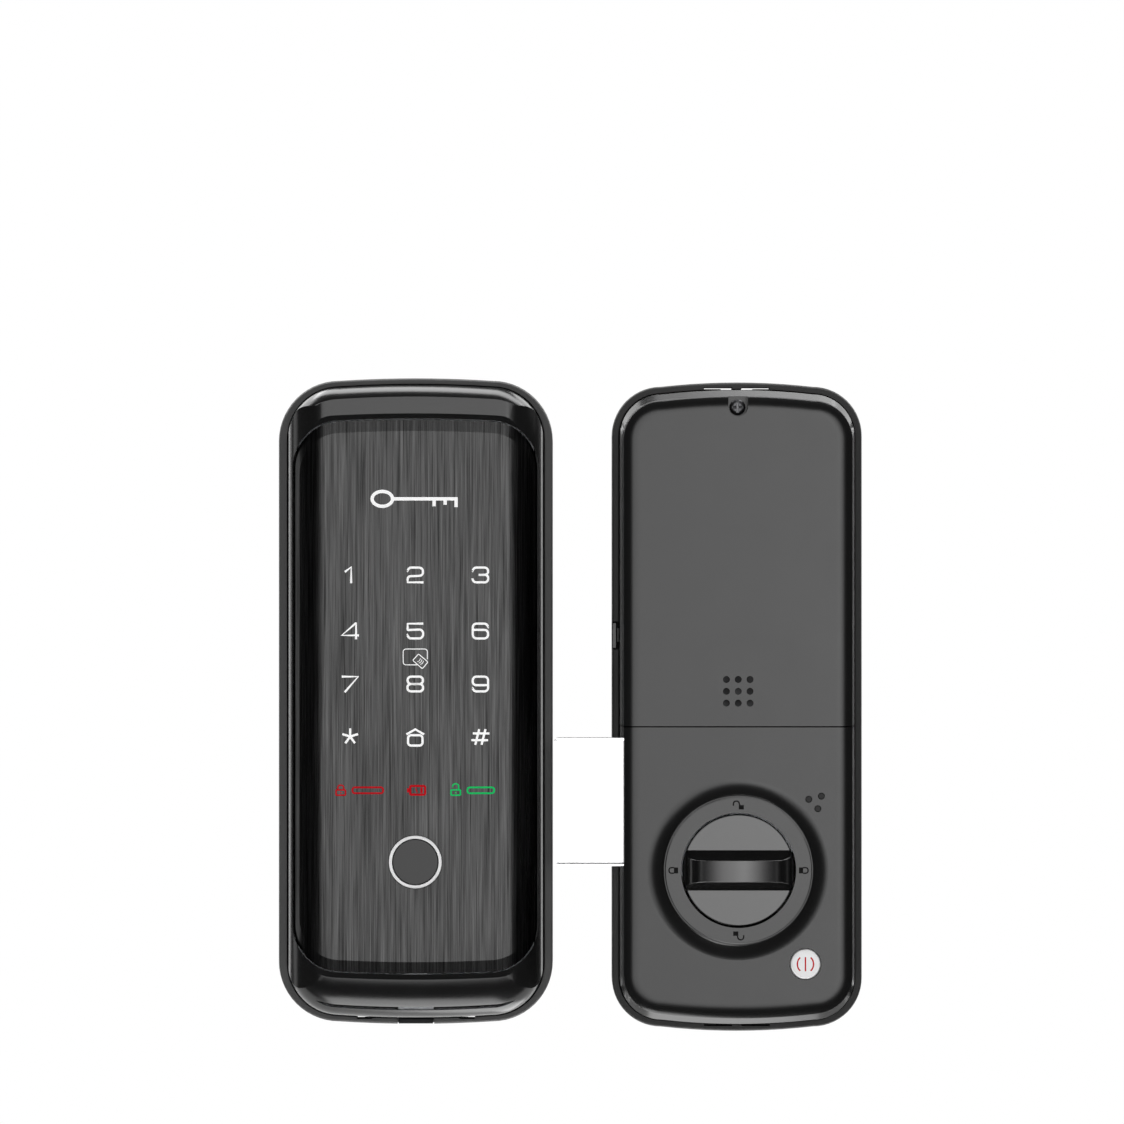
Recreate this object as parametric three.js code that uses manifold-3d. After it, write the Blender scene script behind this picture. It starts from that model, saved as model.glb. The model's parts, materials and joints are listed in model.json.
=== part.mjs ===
// Keypad smart lock for a swing door, shown as it is sold: the keypad unit for the outer door face and the
// deadbolt unit for the inner door face stand side by side, backs in one plane, with the bolt thrown.
// Millimetres. X to the right, Z up, Y into the door; "depth" is the distance out from the door face (-Y).
// The origin is the middle of the keypad unit's back.
import * as THREE from 'three';
import { mergeVertices } from 'three/addons/utils/BufferGeometryUtils.js';
import Module from 'manifold-3d';

const wasm = await Module();
wasm.setup();

// ---------------------------------------------------------------- driving dimensions

const GAP = 0.3; // between neighbouring pieces that would touch
const WALL = 2.0; // moulded walls
const ARC = 4; // steps in a rounded corner

// Keypad unit.
const KEYPAD = { halfWidth: 35.05, halfHeight: 82.6, corner: 15.4, crown: 0.64 };
const KEYPAD_RIM_SIDE = 2.05; // visible width of the base frame's edge at the sides
const KEYPAD_RIM_END = 1.4; // and at the top and bottom
const KEYPAD_RIM_DEPTH = 12.5;
const KEYPAD_FRONT = 21.8; // housing front above the door
const HOUSING = { halfWidth: 32.6, halfHeight: 80.8, corner: 13.2, crown: 0.64 };
const GLASS = { halfWidth: 31.1, halfHeight: 70.6, corner: 12.0, crown: 0.5 };
const GLASS_Z = 1.3; // the glass sits a little above the middle
const GLASS_FRONT = 21.3;
const GLASS_BACK = 16.0;
const GLASS_FLAT = 23.0; // half width of the flat middle, before the sides roll back
const GLASS_ROLL = 10.0; // radius of the rolled sides
const GLASS_BEVEL = { length: 2.9, drop: 0.95 }; // sloped strip at the top and bottom ends
const BACK_PLATE = { back: 3.6, front: 5.0 };
const KEYPAD_CABLE_WAY = { halfWidth: 10, bottom: 22, top: 38 };
const DRAIN = { x: 13.1, halfWidth: 2, bottom: -81.3, top: -80.75 };
const FINGER_Z = -40.9;
const FINGER_RING = { outer: 6.75, inner: 5.95 };
const SENSOR_RADIUS = 5.65;
const POST_RADIUS = 3.2;
const BOLT_Z = [62.5, -71.0]; // the two through bolts that clamp the door
const HOUSING_SCREW = { x: 18.0, z: 74.6 };
const KEY_COLUMNS = [-16.6, 0, 16.6];
const KEY_ROWS = [32.3, 18.0, 4.5, -9.0, -22.6];
const FLAP = { halfWidth: 4.4, back: 4.8, front: 12.6, bottom: -82.5, top: -81.1 };
const PORT = { halfWidth: 4.5, back: 7.2, front: 10.6, bottom: -80.5, top: -74.5 };

// Deadbolt unit, in its own frame: its middle is INNER_X, INNER_Z from the origin.
const INNER_X = 82.1;
const INNER_Z = -1.4;
const INNER = { halfWidth: 31.95, halfHeight: 82.9, corner: 12.5, crown: 1.1 };
const INNER_RIM = 1.65;
const INNER_RIM_DEPTH = 14.0;
const COVER_INSET = 2.05;
const COVER_FRONT = 33.0;
const COVER_BACK = 4.4;
// The covers' outside: an upright skirt, a sloped shoulder, then walls that round into the front.
// Each step is how far it stands in at the sides, at the ends, and its depth.
const COVER_OUTSIDE = [[0, 0, COVER_BACK], [0, 0, 19.0], [0.4, 1.5, 20.2], [1.0, 2.1, 27.0],
  [2.3, 3.2, 31.0], [3.5, 4.2, 32.4], [4.9, 5.5, COVER_FRONT]];
const COVER_INSIDE = [[1.8, 1.8, COVER_BACK - 1], [1.8, 1.8, 18.5], [2.1, 3.3, 19.8], [2.7, 3.8, 27.0],
  [3.9, 4.8, 29.8], [5.4, 6.0, COVER_FRONT - WALL]];
const FLOOR = { back: 2.1, front: 4.1 };
const BASE_SCREWS = [[-22, -66], [21, -74]]; // hold the base frame to the mounting plate
const INNER_CABLE_WAY = { halfWidth: 10, bottom: 8, top: 32 };
const SPLIT_Z = -4.8; // seam between the battery cover and the lower cover
const CELL = { radius: 7.15, length: 50.2, pitch: 14.9, depth: 22.7, lowest: 19.6 };
const SPEAKER_Z = 4.2;
const GRILLE = { pitch: 3.0, radius: 0.87 };
const COVER_SCREW_Z = 76.4;
const SCREW_POCKET = { halfWidth: 2.5, floor: 22.0 };

// Thumbturn, bolt and gear train.
const KNOB_Z = -41.1;
const KNOB_OPENING = 15.0; // radius of the hole in the lower cover
const DIAL = { outer: 18.6, inner: 14.55, back: 36.3, front: 37.3 };
const KNOB = { radius: 14.2, back: 31.0, disc: 37.0, top: 46.0, barTop: 5.4, barFoot: 11.0 };
const SPINDLE_RADIUS = 3.0;
const BOLT_THROW = 17.0; // for a quarter turn of the thumbturn
const BOLT = { tip: -46.6, shoulder: -26.0, tail: 1.0, top: -7.8, bottom: -40.3, back: 15.0, front: 27.0 };
const CRANK_RADIUS = BOLT_THROW / Math.SQRT2; // the crank pin swings from 45 degrees left to 45 right
const CRANK_PIN = { radius: 1.5, tip: 18.4 };
const MODULE = 0.8;
const TEETH = { drive: 40, idlerSmall: 10, idlerLarge: 30, motor: 10 };
const DRIVE_LAYER = [8.0, 11.0]; // depths of the two gear layers
const MOTOR_LAYER = [4.8, 7.2];
const IDLER_AT = [12.0, KNOB_Z - 16.0]; // 20 mm from the spindle
const MOTOR_AT = [-1.313, -65.975]; // 16 mm from the idler
const MOTOR_RADIUS = 6.0;
const BUTTON = { x: 17.05, z: -65.0, radius: 3.75 };
const LIGHTS = [[17.9, -23.2], [21.1, -22.4], [20.2, -25.6]];
const RELEASE_KEY = { bottom: 14.9, top: 21.5 };

// Holes. Cuts overshoot the solids that they open, so their depths are rough.
const BOLT_HOLES = { gasket: 2.6, thread: 2.1, frame: 4.0, plate: 2.8 };
const SCREW_HOLES = { plate: 1.5, boss: 1.25, base: 1.9, mounting: 1.45 };
const COVER_POST = { radius: 2.1, bore: 1.35, front: 18.3 };
const SPINDLE_BORE = SPINDLE_RADIUS + 0.08;
const IDLER_PIN_RADIUS = 1.2;
const IDLER_BORE = IDLER_PIN_RADIUS + 0.08;
const FRAME_SLOT = { x: 4.8, halfWidth: 3.6, inner: 80.95, outer: 81.45 };

// Screws: head radius, depths of the head's back and front, shaft radius, depth of the shaft's end.
const HOUSING_SCREW_SIZE = [2.1, 2.2, 3.3, 1.0, 12.5];
const COVER_SCREW_SIZE = [2.0, SCREW_POCKET.floor + GAP, SCREW_POCKET.floor + GAP + 2, 1.1, 10.0];
const BASE_SCREW_SIZE = [2.9, 4.4, 5.8, 1.1, 0.4];

// Blocks: left, right, bottom, top, back, front.
const TOUCH_POCKET = [-24, 24, -65.5, 67.5, 15, 19.3]; // in the back of the glass
const TOUCH_BOARD = [-23.5, 23.5, -65, 67, 17.2, 18.6];
const ANTENNA = [-22, 22, -3.6, 26.4, 16.4, 16.9];
const ANTENNA_MIDDLE = [-19, 19, -0.6, 23.4, 16, 17];
const LIGHT_GUIDE = [-22, 22, -27, 38, 11.4, 15.8];
const KEYPAD_BOARD = [-27, 27, -64, 57, 9.0, 10.6];
const KEYPAD_SOCKET = [-7, 7, 25, 35, 5.6, 8.7];
const KEYPAD_SOCKET_MOUTH = [-5.6, 5.6, 27, 33, 5, 7.4];
const CONTROL_BOARD = [-20, 20, -2, 70, 8.0, 9.6];
const CONTROL_SOCKET = [-7, 7, 15, 25, 4.6, 7.7];
const CONTROL_SOCKET_MOUTH = [-5.6, 5.6, 17, 23, 4, 6.4];
const LIGHT_BOARD = [14.8, 24.2, -28.5, -19.5, 29.0, 29.9];
const BUTTON_BOARD = [9, 25.5, -74, -59, 21.0, 22.2];
const RELEASE_PAD = [-31.9, -30.75, RELEASE_KEY.bottom, RELEASE_KEY.top, 5.3, 13.7];
const RELEASE_STEM = [-30.8, -30.05, 16.4, 20.2, 6.2, 12.0];
const RELEASE_SLOT = [-31, -28.9, 16.0, 20.6, 4, 12.4]; // in the battery cover's skirt
const TRAY_TONGUE = [-9, 9, -3.4, 11.6, 22.5, 24.2]; // holds the speaker

// Outlines in X and Z.
const TRAY_OUTLINE = [[-27, 11.4], [27, 11.4], [27, 69.4], [24.4, 72.4], [-24.4, 72.4], [-27, 69.4]];
const TRAY_LEGS = { x: 24.5, z: [14, 70], radius: 2 };
const BRACKET_OUTLINE = [[-14, -52.5], [-14, -76], [20, -76], [26.8, -69], [26.8, -52.5]];
const BRACKET_LEGS = [[-12, -74], [12, -74.2], [25.2, -65]];
const BRACKET_LEG_RADIUS = 1.6;
const GUIDE_OUTLINE = [[-26, -43], [-8, -43], [-8, -36.8], [26, -36.8], [26, -5.6], [-26, -5.6]];

// Turned profiles: radius, depth.
const SENSOR_PROFILE = [[0, 13.2], [7.4, 13.2], [7.4, 15.4], [SENSOR_RADIUS, 15.4],
  [SENSOR_RADIUS, 20.8], [SENSOR_RADIUS - 0.2, 21.0], [0, 21.0]];
const SPEAKER_PROFILE = [[0, 24.5], [5.4, 24.5], [5.4, 27.2], [6.8, 27.8], [6.8, 30.2],
  [5.9, 30.2], [3.2, 29.3], [0, 29.6]];
const MOTOR_PROFILE = [[0, 12.9], [2.6, 12.9], [2.6, 13.9], [MOTOR_RADIUS, 13.9],
  [MOTOR_RADIUS, 29.4], [2.0, 29.4], [2.0, 30.3], [0, 30.3]];
const BUTTON_PROFILE = [[0, 28.0], [4.7, 28.0], [4.7, 29.6], [BUTTON.radius, 29.6],
  [BUTTON.radius, 33.0], [BUTTON.radius - 0.4, 33.4], [0, 33.4]];
// The lower cover's seat for the dial, hollowed where it rises out of the front.
const SEAT_PROFILE = [[0, COVER_FRONT - WALL], [22.6, COVER_FRONT - WALL], [22.6, COVER_FRONT - 0.4],
  [21.4, COVER_FRONT + 0.2], [20.3, COVER_FRONT + 1.1], [19.5, COVER_FRONT + 2.2],
  [19.1, DIAL.back - GAP], [0, DIAL.back - GAP]];

// ---------------------------------------------------------------- finishes

function finish(color, roughness, metalness = 0) {
  return new THREE.MeshStandardMaterial({ color, roughness, metalness });
}

const FINISHES = {
  satinBlack: finish(0x2b2c2e, 0.42, 0.2),
  frameBlack: finish(0x1d1e20, 0.5),
  brushedGlass: finish(0x1b1c1e, 0.18, 0.3),
  knobGrey: finish(0x4a4b4d, 0.4, 0.5),
  boltSteel: finish(0xd8d9db, 0.3, 1.0),
  steel: finish(0x9a9da1, 0.4, 1.0),
  rubber: finish(0x161616, 0.85),
  board: finish(0x12562c, 0.6),
  copper: finish(0xb4703a, 0.4, 0.9),
  spring: finish(0xc3b27a, 0.35, 1.0),
  innerPlastic: finish(0x3a3b3d, 0.6),
  whitePlastic: finish(0xeeeeec, 0.4),
  acetal: finish(0xd9d6c8, 0.5),
  cell: finish(0x35607a, 0.4, 0.3),
  lens: finish(0x3c3d40, 0.3),
};

// ---------------------------------------------------------------- solids

function toSolid(geometry) {
  const bare = geometry.clone();
  bare.deleteAttribute('normal');
  bare.deleteAttribute('uv');
  const merged = mergeVertices(bare, 1e-4);
  return new wasm.Manifold(new wasm.Mesh({
    numProp: 3,
    vertProperties: new Float32Array(merged.attributes.position.array),
    triVerts: new Uint32Array(merged.index.array),
  }));
}

function toGeometry(solid) {
  const { numProp, vertProperties, triVerts } = solid.getMesh();
  const geometry = new THREE.BufferGeometry();
  const positions = new Float32Array((vertProperties.length / numProp) * 3);
  for (let i = 0; i < positions.length / 3; i++) {
    positions.set(vertProperties.subarray(i * numProp, i * numProp + 3), i * 3);
  }
  geometry.setAttribute('position', new THREE.BufferAttribute(positions, 3));
  geometry.setIndex(new THREE.BufferAttribute(triVerts, 1));
  return geometry;
}

const join = (first, ...rest) => toGeometry(rest.reduce((a, b) => a.add(toSolid(b)), toSolid(first)));
const cut = (first, ...rest) => toGeometry(rest.reduce((a, b) => a.subtract(toSolid(b)), toSolid(first)));
const common = (first, second) => toGeometry(toSolid(first).intersect(toSolid(second)));

// ---------------------------------------------------------------- shapes

const inset = (size, side, end = side) => ({
  halfWidth: size.halfWidth - side,
  halfHeight: size.halfHeight - end,
  corner: size.corner - Math.max(side, end) * 0.9,
  crown: size.crown,
});

const coverSize = inset(INNER, COVER_INSET);

// A rounded rectangle in X and Z whose top and bottom edges bow outwards by its crown.
function outline({ halfWidth, halfHeight, corner, crown }, z = 0) {
  const side = halfHeight - crown - corner;
  const flat = halfWidth - corner;
  const shape = new THREE.Shape();
  shape.moveTo(halfWidth, z - side);
  shape.lineTo(halfWidth, z + side);
  shape.absarc(flat, z + side, corner, 0, Math.PI / 2);
  shape.quadraticCurveTo(0, z + halfHeight + crown, -flat, z + halfHeight - crown);
  shape.absarc(-flat, z + side, corner, Math.PI / 2, Math.PI);
  shape.lineTo(-halfWidth, z - side);
  shape.absarc(-flat, z - side, corner, Math.PI, 1.5 * Math.PI);
  shape.quadraticCurveTo(0, z - halfHeight - crown, flat, z - halfHeight + crown);
  shape.absarc(flat, z - side, corner, 1.5 * Math.PI, 2 * Math.PI);
  return shape;
}

const polygon = (points) => new THREE.Shape(points.map(([x, y]) => new THREE.Vector2(x, y)));

function rectangle(left, right, bottom, top) {
  return polygon([[left, bottom], [right, bottom], [right, top], [left, top]]);
}

// An outline in X and Z pulled out from one depth to another.
function slab(shape, from, to) {
  const geometry = new THREE.ExtrudeGeometry(shape, {
    depth: to - from, bevelEnabled: false, curveSegments: ARC,
  });
  return geometry.rotateX(Math.PI / 2).translate(0, -from, 0);
}

const box = (left, right, bottom, top, from, to) => slab(rectangle(left, right, bottom, top), from, to);

function cableHole({ halfWidth, bottom, top }, from, to) {
  return box(-halfWidth, halfWidth, bottom, top, from, to);
}

// An outline in X and depth pulled up between two heights.
function upright(points, bottom, top) {
  const shape = polygon(points.map(([x, depth]) => [x, -depth]).reverse());
  return new THREE.ExtrudeGeometry(shape, { depth: top - bottom, bevelEnabled: false })
    .translate(0, 0, bottom);
}

// An outline in depth and Z pulled sideways between two X positions.
function sideways(points, left, right) {
  const shape = polygon(points.map(([depth, z]) => [-depth, z]));
  const axes = new THREE.Matrix4().makeBasis(
    new THREE.Vector3(0, 1, 0), new THREE.Vector3(0, 0, 1), new THREE.Vector3(1, 0, 0));
  return new THREE.ExtrudeGeometry(shape, { depth: right - left, bevelEnabled: false })
    .applyMatrix4(axes).translate(left, 0, 0);
}

// A round bar along the depth.
function rod(radius, from, to, x = 0, z = 0, sides = 16) {
  return new THREE.CylinderGeometry(radius, radius, to - from, sides)
    .translate(x, -(from + to) / 2, z);
}

// A turned piece about an axis along the depth. Its profile of [radius, depth] pairs runs
// from the back of the piece to its front.
function turned(profile, x = 0, z = 0, sides = 28) {
  const points = profile.map(([radius, depth]) => new THREE.Vector2(radius, depth));
  return new THREE.LatheGeometry(points, sides).rotateX(Math.PI).translate(x, 0, z);
}

// A case wall built from outlines at rising depths, closed at both ends.
function loft(sections) {
  const rings = sections.map(({ size, depth }) => outline(size).getPoints(ARC)
    .filter((p, i, all) => p.distanceTo(all.at(i - 1)) > 1e-6)
    .map((p) => new THREE.Vector3(p.x, -depth, p.y)));
  const count = rings[0].length;
  const index = [];
  for (let r = 0; r < rings.length - 1; r++) {
    for (let j = 0; j < count; j++) {
      const a = r * count + j;
      const b = r * count + ((j + 1) % count);
      index.push(a, b, b + count, a, b + count, a + count);
    }
  }
  const cap = (ring) => THREE.ShapeUtils.triangulateShape(
    ring.map((p) => new THREE.Vector2(p.x, p.z)), []);
  const last = (rings.length - 1) * count;
  for (const [a, b, c] of cap(rings[0])) index.push(a, c, b);
  for (const [a, b, c] of cap(rings.at(-1))) index.push(last + a, last + b, last + c);
  return new THREE.BufferGeometry().setFromPoints(rings.flat()).setIndex(index);
}

// A spur gear whose first tooth points along the angle given.
function gear(teeth, angle, from, to, [x, z]) {
  const pitch = (MODULE * teeth) / 2;
  const addendum = 0.8 * MODULE;
  const dedendum = 1.1 * MODULE;
  const half = (Math.PI * MODULE) / 4 - 0.12; // half a tooth at the pitch circle, less the backlash
  const slope = Math.tan(THREE.MathUtils.degToRad(20));
  const tip = pitch + addendum;
  const root = pitch - dedendum;
  const points = [];
  for (let k = 0; k < teeth; k++) {
    const middle = angle + (2 * Math.PI * k) / teeth;
    const foot = (half + dedendum * slope) / root;
    const crest = (half - addendum * slope) / tip;
    for (const [radius, turn] of [[root, -foot], [tip, -crest], [tip, crest], [root, foot]]) {
      points.push([x + radius * Math.cos(middle + turn), z + radius * Math.sin(middle + turn)]);
    }
  }
  return slab(polygon(points), from, to);
}

const bearing = (from, to) => Math.atan2(to[1] - from[1], to[0] - from[0]);

// ---------------------------------------------------------------- placing

const lock = new THREE.Group();
const keypadUnit = new THREE.Group();
const boltUnit = new THREE.Group();
boltUnit.position.set(INNER_X, 0, INNER_Z);
lock.add(keypadUnit, boltUnit);

function place(unit, name, geometry, material) {
  const mesh = new THREE.Mesh(geometry, material);
  mesh.name = name;
  unit.add(mesh);
}

// ---------------------------------------------------------------- keypad unit: case

// The front of the housing and glass across the width: flat, then rolled back at the sides.
function rolledFront(front, back, halfWidth) {
  const steps = 4;
  const right = [];
  for (let i = 0; i <= steps; i++) {
    const across = ((halfWidth - GLASS_FLAT) * i) / steps;
    const drop = GLASS_ROLL - Math.sqrt(Math.max(GLASS_ROLL ** 2 - across ** 2, 0));
    right.push([GLASS_FLAT + across, front - drop]);
  }
  const left = right.map(([x, depth]) => [-x, depth]).reverse();
  return [[-halfWidth, back], [halfWidth, back], ...right.reverse(), ...left.reverse()];
}

function keypadCase() {
  const rimInner = inset(KEYPAD, KEYPAD_RIM_SIDE, KEYPAD_RIM_END);
  const seat = inset(KEYPAD, 4.5); // opening in the base frame's rear flange
  const drains = [-DRAIN.x, DRAIN.x].map((x) => box(x - DRAIN.halfWidth, x + DRAIN.halfWidth,
    DRAIN.bottom, DRAIN.top, -1, 14));
  const boltHoles = BOLT_Z.map((z) => rod(BOLT_HOLES.gasket, -1, 6, 0, z));
  const cableWay = cableHole(KEYPAD_CABLE_WAY, -1, 6);

  place(keypadUnit, 'keypad_gasket', cut(slab(outline(inset(KEYPAD, 1.0)), 0, 1.5),
    ...drains, ...boltHoles, cableWay), FINISHES.rubber);

  const shell = loft([
    { size: KEYPAD, depth: 1.8 },
    { size: KEYPAD, depth: KEYPAD_RIM_DEPTH - 0.7 },
    { size: inset(KEYPAD, 0.6), depth: KEYPAD_RIM_DEPTH },
  ]);
  place(keypadUnit, 'keypad_base_frame', cut(shell,
    slab(outline(rimInner), 3.3, KEYPAD_RIM_DEPTH + 1),
    slab(outline(seat), 1, 4),
    box(-FLAP.halfWidth - GAP, FLAP.halfWidth + GAP, -84, -80, 4.0, 14),
    ...drains), FINISHES.frameBlack);

  const plateSize = inset(HOUSING, WALL + GAP + 0.1);
  place(keypadUnit, 'keypad_back_plate', cut(
    slab(outline(plateSize), BACK_PLATE.back, BACK_PLATE.front),
    ...boltHoles, cableWay,
    ...screwPlaces().map(([x, z]) => rod(SCREW_HOLES.plate, 3, 6, x, z, 12))), FINISHES.steel);

  const body = loft([
    { size: HOUSING, depth: BACK_PLATE.back },
    { size: HOUSING, depth: 15.5 },
    { size: inset(HOUSING, 0.3, 0.9), depth: 18.6 },
    { size: inset(HOUSING, 0.7, 2.2), depth: 20.9 },
    { size: inset(HOUSING, 1.1, 3.4), depth: KEYPAD_FRONT },
  ]);
  const rolled = upright(rolledFront(KEYPAD_FRONT, BACK_PLATE.back, HOUSING.halfWidth), -82, 82);
  const hollow = common(slab(outline(inset(HOUSING, WALL)), 3, KEYPAD_FRONT - WALL),
    upright(rolledFront(KEYPAD_FRONT - WALL, 3, HOUSING.halfWidth), -82, 82));
  const opening = slab(outline(inset(GLASS, -GAP), GLASS_Z), 8, 30);
  const bosses = screwPlaces().map(([x, z]) => rod(2.2, 5.4, 20.4, x, z, 16));
  place(keypadUnit, 'front_housing', cut(
    join(cut(common(body, rolled), hollow, opening), ...bosses),
    ...screwPlaces().map(([x, z]) => rod(SCREW_HOLES.boss, 5, 14, x, z, 12)),
    box(-PORT.halfWidth - GAP, PORT.halfWidth + GAP, -82, -76, 6.0, 11.6)), FINISHES.satinBlack);
}

function screwPlaces() {
  const { x, z } = HOUSING_SCREW;
  return [[-x, z], [x, z], [-x, -z], [x, -z]];
}

// A pan-head screw with a cross drive. Its shaft ends in front of the head or behind it.
function screw(x, z, headRadius, headBack, headFront, shaftRadius, shaftEnd) {
  const long = 1.1;
  const thin = 0.25;
  const drive = [box(x - long, x + long, z - thin, z + thin, 0, 0.8),
    box(x - thin, x + thin, z - long, z + long, 0, 0.8)];
  const shaft = rod(shaftRadius, Math.min(headFront, shaftEnd) - 0.1,
    Math.max(headBack, shaftEnd), x, z, 8);
  const head = rod(headRadius, headBack, headFront, x, z, 14);
  const facesDoor = shaftEnd > headFront;
  const sunk = facesDoor ? headBack - 0.1 : headFront - 0.7;
  return cut(join(head, shaft), ...drive.map((slot) => slot.translate(0, -sunk, 0)));
}

// ---------------------------------------------------------------- keypad unit: contents

function touchGlass() {
  const body = common(slab(outline(GLASS, GLASS_Z), GLASS_BACK, GLASS_FRONT + 1),
    upright(rolledFront(GLASS_FRONT, GLASS_BACK, GLASS.halfWidth), -75, 75));
  const bevels = [1, -1].map((end) => {
    const edge = GLASS_Z + end * GLASS.halfHeight;
    const start = edge - end * GLASS_BEVEL.length;
    const slope = [[GLASS_FRONT, start], [GLASS_FRONT - GLASS_BEVEL.drop, edge],
      [GLASS_FRONT - GLASS_BEVEL.drop, edge + end * 2], [GLASS_FRONT + 2, edge + end * 2],
      [GLASS_FRONT + 2, start]];
    return sideways(end > 0 ? slope.reverse() : slope, -40, 40);
  });
  return cut(body, ...bevels,
    box(...TOUCH_POCKET),
    rod(FINGER_RING.outer + GAP, 15, 25, 0, FINGER_Z, 28));
}

function lightGuide() {
  const wells = KEY_ROWS.flatMap((z) => KEY_COLUMNS
    .map((x) => box(x - 4, x + 4, z - 2.6, z + 2.6, 11, 17)));
  return cut(box(...LIGHT_GUIDE), ...wells);
}

function portShell() {
  const { halfWidth, back, front, bottom, top } = PORT;
  const tongue = box(-3.4, 3.4, bottom + 1.2, top - 0.5, 8.55, 9.25);
  return join(cut(box(-halfWidth, halfWidth, bottom, top, back, front),
    box(-halfWidth + 0.4, halfWidth - 0.4, bottom - 1, top - 0.8, back + 0.4, front - 0.4)), tongue);
}

function keypadContents() {
  place(keypadUnit, 'touch_glass', touchGlass(), FINISHES.brushedGlass);
  place(keypadUnit, 'touch_board', cut(box(...TOUCH_BOARD),
    rod(FINGER_RING.outer + GAP, 16, 20, 0, FINGER_Z, 32)), FINISHES.board);
  place(keypadUnit, 'card_antenna', cut(box(...ANTENNA), box(...ANTENNA_MIDDLE)),
    FINISHES.copper);
  place(keypadUnit, 'fingerprint_ring', cut(rod(FINGER_RING.outer, 17.6, 21.1, 0, FINGER_Z, 28),
    rod(FINGER_RING.inner, 17, 22, 0, FINGER_Z, 28)), FINISHES.whitePlastic);
  place(keypadUnit, 'fingerprint_sensor', turned(SENSOR_PROFILE, 0, FINGER_Z), FINISHES.lens);
  place(keypadUnit, 'light_guide', lightGuide(), FINISHES.whitePlastic);
  place(keypadUnit, 'keypad_board', box(...KEYPAD_BOARD), FINISHES.board);
  place(keypadUnit, 'keypad_cable_socket', cut(box(...KEYPAD_SOCKET),
    box(...KEYPAD_SOCKET_MOUTH)), FINISHES.whitePlastic);
  ['upper_bolt_post', 'lower_bolt_post'].forEach((name, i) => {
    place(keypadUnit, name, cut(rod(POST_RADIUS, 5.3, 15.5, 0, BOLT_Z[i]),
      rod(BOLT_HOLES.thread, 5, 14, 0, BOLT_Z[i])), FINISHES.steel);
  });
  screwPlaces().forEach(([x, z], i) => {
    place(keypadUnit, `housing_screw_${i + 1}`, screw(x, z, ...HOUSING_SCREW_SIZE), FINISHES.steel);
  });
  place(keypadUnit, 'emergency_port', portShell(), FINISHES.steel);
  const { halfWidth, back, front, bottom, top } = FLAP;
  place(keypadUnit, 'port_flap', join(
    box(-halfWidth, halfWidth, bottom, top, back, front - 0.5),
    box(-halfWidth + 0.5, halfWidth - 0.5, bottom + 0.2, top - 0.2, back, front)), FINISHES.rubber);
}

// ---------------------------------------------------------------- deadbolt unit: case

const coverBody = (steps) => loft(steps.map(([side, end, depth]) => ({
  size: inset(coverSize, side, end), depth,
})));

function coverShell(bottom, top) {
  return common(cut(coverBody(COVER_OUTSIDE), coverBody(COVER_INSIDE)),
    box(-40, 40, bottom, top, 0, 60));
}

function baseFrame() {
  const shell = loft([
    { size: INNER, depth: GAP },
    { size: INNER, depth: INNER_RIM_DEPTH - 0.6 },
    { size: inset(INNER, 0.6), depth: INNER_RIM_DEPTH },
  ]);
  const { halfWidth, inner, outer } = FRAME_SLOT;
  const slots = [-1, 1].flatMap((end) => [-FRAME_SLOT.x, FRAME_SLOT.x].map((x) => box(x - halfWidth,
    x + halfWidth, Math.min(end * inner, end * outer), Math.max(end * inner, end * outer), -1, 15)));
  const hollowed = cut(shell,
    slab(outline(inset(INNER, INNER_RIM)), FLOOR.front, INNER_RIM_DEPTH + 1),
    slab(outline(inset(INNER, 3.0)), -1, FLOOR.back));
  return cut(join(hollowed, rod(COVER_POST.radius, FLOOR.back, COVER_POST.front, 0, COVER_SCREW_Z, 20)),
    ...slots,
    rod(COVER_POST.bore, 8, 20, 0, COVER_SCREW_Z, 12),
    box(-33, -29, RELEASE_KEY.bottom - GAP, RELEASE_KEY.top + GAP, 5.0, 15),
    cableHole(INNER_CABLE_WAY, 1, 5),
    ...BOLT_Z.map((z) => rod(BOLT_HOLES.frame, 1, 5, 0, z)),
    rod(SPINDLE_BORE, 1, 5, 0, KNOB_Z, 32),
    rod(1.5, 1, 5, ...IDLER_AT, 16),
    ...BASE_SCREWS.map(([x, z]) => rod(SCREW_HOLES.base, 1, 5, x, z, 16)));
}

function lowerCover() {
  const seat = turned(SEAT_PROFILE, 0, KNOB_Z, 36);
  const room = inset(coverSize, 0.6);
  const skin = join(coverShell(-90, SPLIT_Z - 0.15), common(seat, slab(outline(room), 20, 60)));
  return cut(skin,
    rod(KNOB_OPENING, 20, 40, 0, KNOB_Z, 36),
    box(-34, -24, BOLT.bottom - 0.4, BOLT.top + 0.4, BOLT.back - 0.4, BOLT.front + 0.4),
    rod(BUTTON.radius + GAP, 28, 40, BUTTON.x, BUTTON.z, 32),
    ...LIGHTS.map(([x, z]) => rod(1.0, 28, 40, x, z, 12)));
}

function batteryCover() {
  const { halfWidth, floor } = SCREW_POCKET;
  const pocket = new THREE.Shape();
  pocket.moveTo(halfWidth, 79.3);
  pocket.lineTo(-halfWidth, 79.3);
  pocket.absarc(0, COVER_SCREW_Z, halfWidth, Math.PI, 2 * Math.PI);
  const well = box(-halfWidth - 1.3, halfWidth + 1.3, 72.8, 79.2, floor - 1.5, COVER_FRONT - 1.6);
  const holes = [-1, 0, 1].flatMap((i) => [-1, 0, 1].map((j) => rod(GRILLE.radius, 28, 40,
    i * GRILLE.pitch, SPEAKER_Z + j * GRILLE.pitch, 10)));
  return cut(join(coverShell(SPLIT_Z + 0.15, 90), common(well, coverBody(COVER_OUTSIDE))),
    slab(pocket, floor, 40),
    rod(1.4, 10, floor + 1, 0, COVER_SCREW_Z, 12),
    box(...RELEASE_SLOT),
    ...holes);
}

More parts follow.
